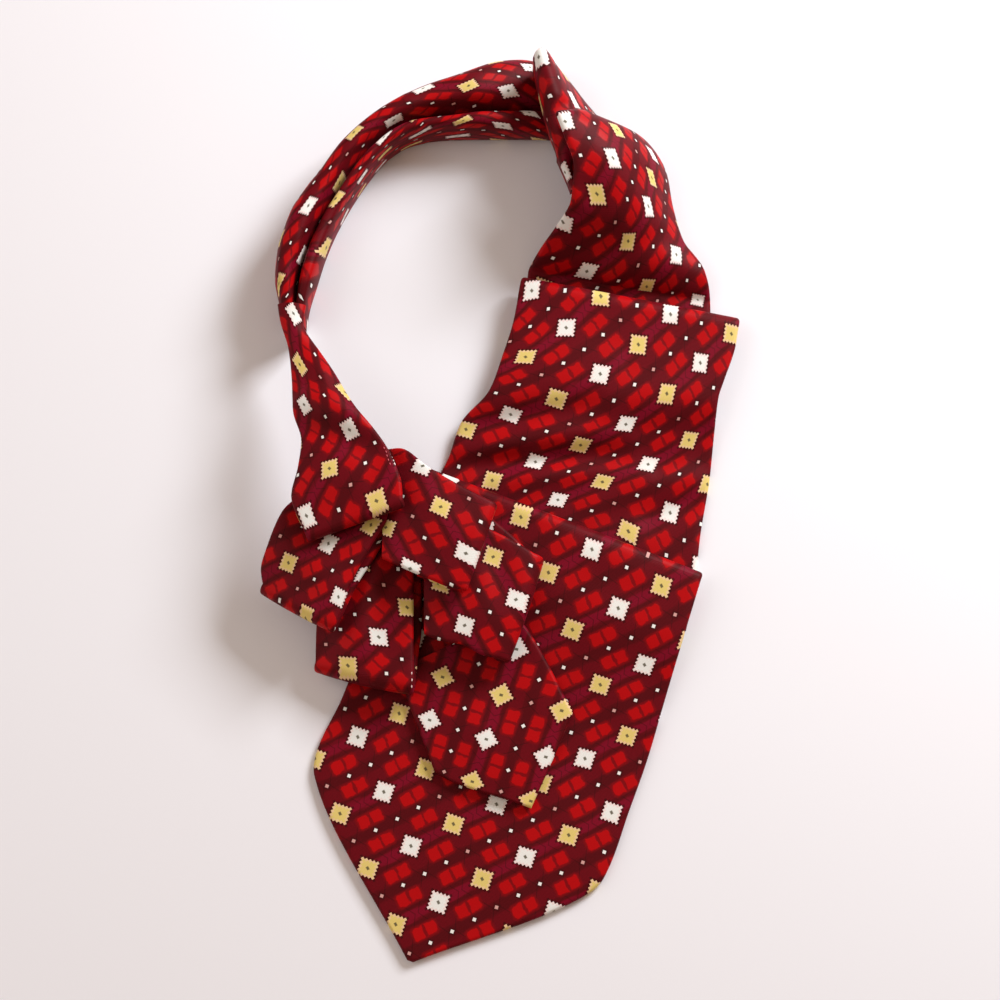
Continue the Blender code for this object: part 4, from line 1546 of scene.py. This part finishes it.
TAIL_BLADE_PINS = (
    Pin(442.4, 677.2, 6, 1, 0), Pin(502.1, 695.4, 6, 1, 1), Pin(561.8, 710.4, 6, 1, 2),
    Pin(429.1, 720.3, 5.5, 2, 0), Pin(486.2, 739.5, 5.5, 2, 1), Pin(545.2, 756.8, 5.5, 2, 2),
    Pin(472.9, 781.7, 5.5, 3, 1), Pin(517, 649, 7, 0, 1),
)
NECK_BAND_PINS = (
    Pin(510, 88, 19, 0, 0), Pin(470, 86, 20, -1, 0), Pin(433, 117, 16.5, -1, -1),
    Pin(393, 121, 17, -2, -1), Pin(493, 108, 12.5, 0, -0.5), Pin(474, 106, 15, -0.5, -0.5),
    Pin(453, 105, 16.5, -1, -0.5), Pin(432, 104, 18.5, -1.5, -0.5), Pin(411, 104, 20, -2, -0.5),
    Pin(355, 131, 19.5, -3, -1), Pin(365, 155, 17.5, -2, -2), Pin(339, 180, 15.5, -3, -2),
    Pin(310, 204, 20, -4, -2), Pin(302, 252, 17, -4, -3), Pin(378, 136, 15, -2, -1.5),
    Pin(362, 145, 17.5, -2.5, -1.5), Pin(347, 156, 19, -3, -1.5), Pin(331, 168, 20, -3.5, -1.5),
    Pin(332, 204, 17.5, -3, -2.5), Pin(320, 218, 13.5, -3.5, -2.5), Pin(305, 230, 19, -4, -2.5),
    Pin(292, 244, 20, -4.5, -2.5), Pin(279, 258, 18.5, -5, -2.5), Pin(293, 297, 17.5, -4.5, -3.5),
    Pin(292, 314, 17.5, -4, -4),
)
NECK_BAND_INNER_PINS = (
    Pin(421, 133, 12.5, 0, 0), Pin(502, 127, 13.5, 2, 0), Pin(384, 156, 12, -1, 0),
    Pin(363, 177, 13.5, -2, 0), Pin(327, 248, 11, -3, -1), Pin(387, 147, 14, -1.5, 0.5),
    Pin(353, 195, 12, -2, -0.5), Pin(343, 211, 12, -2.5, -0.5), Pin(329, 221, 17, -3, -0.5),
    Pin(311, 285, 15.5, -3.5, -1.5), Pin(303, 297, 18, -4, -1.5),
)

FRONT_BLADE_CREASES = (
    Crease(10.0, -8.0, 54.0, -30.0, 0.5, 6.0, 0.0),
    Crease(-30.0, -60.0, 30.0, -112.0, 0.35, 11.0, 3.0),
    Crease(20.0, -40.0, 44.0, -80.0, 0.35, 9.0, 2.0),
)
UPPER_PLEAT_CREASES = (
    Crease(-12.0, 19.4, 34.0, 30.0, -1.8, 4.2, 1.5),
    Crease(-18.0, 14.6, 44.0, 21.5, 2.4, 4.8, 2.0),
    Crease(-19.0, 9.4, 43.0, 13.4, -1.5, 3.6, 1.0),
    Crease(-4.0, 4.6, 50.0, 9.6, 2.0, 4.4, 1.5),
    Crease(24.0, -3.0, 66.0, 8.4, 1.6, 4.8, 1.0),
    Crease(44.0, -8.5, 66.0, 0.5, -1.2, 3.6, 0.0),
    Crease(2.0, 36.0, 40.0, 44.0, 0.5, 7.0, 2.0),
)
SHOULDER_CREASES = (
    Crease(27.0, 112.0, 46.0, 84.0, 0.9, 5.0, 2.0),
    Crease(16.0, 84.0, 44.0, 80.5, -1.2, 4.5, -1.5),
    Crease(30.0, 74.0, 62.0, 76.0, 0.9, 4.5, 1.5),
    Crease(24.0, 98.0, 34.0, 88.0, -0.8, 3.5, 0.0),
    Crease(50.0, 104.0, 60.0, 80.0, -0.7, 4.0, 0.0),
)
LEFT_NECK_CREASES = (
    Crease(-63.5, 27.5, -38.0, 13.8, 2.2, 4.6, 1.0),
    Crease(-63.0, 17.2, -36.0, 7.6, -2.0, 4.4, 1.0),
    Crease(-60.0, 45.0, -52.0, 24.0, 1.0, 3.2, 0.0),
    Crease(-64.0, 2.0, -40.0, -3.0, 0.8, 6.0, 1.0),
)
PLEAT_LEFT_CREASES = (
    Crease(-70.0, -14.0, -48.0, -36.0, 0.8, 5.0, 0.0),
    Crease(-66.0, -10.0, -42.0, -13.0, -0.9, 4.0, 0.0),
    Crease(-72.0, -26.0, -56.0, -38.0, -0.5, 4.0, 1.0),
)
PLEAT_RIGHT_CREASES = (
    Crease(-30.0, 2.0, -12.0, -20.0, 0.7, 5.5, 1.0),
    Crease(-34.0, -14.0, -20.0, -30.0, -0.6, 4.5, 0.0),
)
PLEAT_UNDER_CREASES = (
    Crease(-14.0, -16.0, -4.0, -46.0, 0.7, 5.5, 1.0),
    Crease(-2.0, -16.0, 2.0, -40.0, -0.6, 4.0, 0.0),
)
PLEAT_LOWER_CREASES = (
    Crease(-34.0, -10.0, -46.0, -54.0, 1.6, 3.0, 0.0),
    Crease(-50.0, -30.0, -46.0, -56.0, 0.6, 5.0, 1.0),
    Crease(-36.0, -30.0, -34.0, -56.0, -0.6, 5.0, -1.0),
)
TAIL_BLADE_CREASES = (
    Crease(-20.0, -66.0, 6.0, -92.0, 0.4, 7.0, 2.0),
    Crease(4.0, -52.0, 16.0, -74.0, 0.35, 5.0, 0.0),
)
NECK_TURN_CREASES = (
    Crease(19.0, 127.0, 20.6, 110.0, -4.0, 1.7, 0.0),
    Crease(21.2, 112.0, 25.4, 94.0, -4.0, 1.8, 0.0),
)
NECK_BAND_CREASES = (
    Crease(2.0, 137.0, -30.0, 131.0, 0.9, 4.0, 2.0),
    Crease(-50.0, 114.0, -64.0, 92.0, 0.8, 3.4, -1.5),
    Crease(-60.0, 104.0, -68.0, 86.0, -0.7, 3.0, 0.0),
    Crease(-8.0, 125.0, -26.0, 123.0, 0.6, 2.6, 0.0),
    Crease(-66.0, 82.0, -68.0, 62.0, 0.7, 2.4, 0.0),
)


def stretches() -> list[Stretch]:
    """Every strip of the tie, in the order in which they are laid down."""
    return [
        Stretch(
            "front_blade_silk", ("front_blade", "upper_layers"),
            FRONT_BLADE, FRONT_BLADE_PINS, FRONT_BLADE_CREASES,
            Hold.FOLDED, ("table_top",),
            fold=Fold(2.7, 15.0, 0.0, 0.0, 1.0), closed_start=True,
        ),
        Stretch(
            "upper_pleat_silk", ("upper_pleat", "lower_layers"),
            UPPER_PLEAT, UPPER_PLEAT_PINS, UPPER_PLEAT_CREASES,
            Hold.FOLDED, ("table_top",),
            fold=Fold(4.6, 31.0, 0.0, 0.0, 1.0),
        ),
        Stretch(
            "shoulder_silk", ("shoulder",),
            SHOULDER, SHOULDER_PINS, SHOULDER_CREASES,
            Hold.FOLDED, ("table_top",),
            fold=Fold(2.7, 4.0, 0.0, 0.0, 1.0),
        ),
        Stretch(
            "neck_turn_silk", ("neck_turn",),
            NECK_TURN, NECK_TURN_PINS, NECK_TURN_CREASES,
            Hold.FOLDED, ("table_top",),
        ),
        Stretch(
            "left_neck_silk", ("left_neck",),
            LEFT_NECK, LEFT_NECK_PINS, LEFT_NECK_CREASES,
            Hold.FOLDED, ("pleat_left_silk", "pleat_right_silk"),
            fold=Fold(2.7, 5.0, 0.0, 0.0, 1.0),
        ),
        Stretch(
            "pleat_left_silk", ("pleat_left",),
            PLEAT_LEFT, PLEAT_LEFT_PINS, PLEAT_LEFT_CREASES,
            Hold.GATHERED, ("pleat_lower_silk",),
            fold=Fold(3.6, 34.0, 2.4, 0.0, 0.0),
        ),
        Stretch(
            "pleat_right_silk", ("pleat_right",),
            PLEAT_RIGHT, PLEAT_RIGHT_PINS, PLEAT_RIGHT_CREASES,
            Hold.GATHERED, ("pleat_under_silk",),
            fold=Fold(2.7, 20.0, 0.0, 0.0, 1.0),
        ),
        Stretch(
            "pleat_under_silk", ("pleat_under",),
            PLEAT_UNDER, PLEAT_UNDER_PINS, PLEAT_UNDER_CREASES,
            Hold.GATHERED, ("tail_blade_silk",),
            fold=Fold(4.6, 28.0, 0.0, 5.2, 0.0),
        ),
        Stretch(
            "pleat_lower_silk", ("pleat_lower",),
            PLEAT_LOWER, PLEAT_LOWER_PINS, PLEAT_LOWER_CREASES,
            Hold.GATHERED, ("front_blade_silk",),
            fold=Fold(3.6, 34.0, 2.4, 0.0, 0.0),
        ),
        Stretch(
            "tail_blade_silk", ("tail_blade",),
            TAIL_BLADE, TAIL_BLADE_PINS, TAIL_BLADE_CREASES,
            Hold.LAID, ("front_blade_silk",),
            closed_end=True, beneath="front_blade_silk",
        ),
    ]


def stitch_rows() -> list[Stitches]:
    """The two rows of stitches that show, beside the rosette."""
    rose = Thread("rose_thread", plain(206, 84, 96))
    pale = Thread("pale_thread", plain(240, 206, 204))
    neck = ("neck_stitches", "left_neck_silk", (-36.0, 9.8, 28.6), (-33.9, 4.6, 28.6))
    loop = ("loop_stitches", "pleat_lower_silk", (-27.0, -58.2, 13.2), (-26.8, -62.8, 13.2))
    return [
        Stitches(*neck, rose, pitch=1.1, length=0.85, width=0.34),
        Stitches(*loop, pale, pitch=1.4, length=0.9, width=0.4),
    ]


def main() -> None:
    """Build the cravat, the table, the light and the camera."""
    logging.basicConfig(level=logging.INFO, format="%(message)s")
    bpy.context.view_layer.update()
    silk = Jacquard().build()
    Studio().camera()
    Studio().light()
    Table().build()
    tops: dict[str, BVHTree] = {}
    for stretch in stretches():
        piece = stretch.build(silk, tops)
        stretch.dress(piece)
        tops[stretch.name] = BVHTree.FromObject(piece, bpy.context.evaluated_depsgraph_get())
        LOG.info("%s: %d faces, flat %s", piece.name, len(piece.data.polygons), stretch.flat_size)
    band = NeckBand(
        "neck_band_silk",
        "neck_band",
        NECK_BAND,
        NECK_BAND_PINS,
        NECK_BAND_INNER_PINS,
        creases=NECK_BAND_CREASES,
    )
    piece = band.build(silk)
    band.dress(piece)
    LOG.info("%s: %d faces, flat %s", piece.name, len(piece.data.polygons), band.flat_size)
    core = RosetteCore()
    piece = core.build(silk)
    core.dress(piece)
    LOG.info("%s: %d faces", piece.name, len(piece.data.polygons))
    for row in stitch_rows():
        piece = row.build(tops[row.over])
        row.dress(piece)
        LOG.info("%s: %d faces", piece.name, len(piece.data.polygons))


if __name__ == "__main__":
    main()
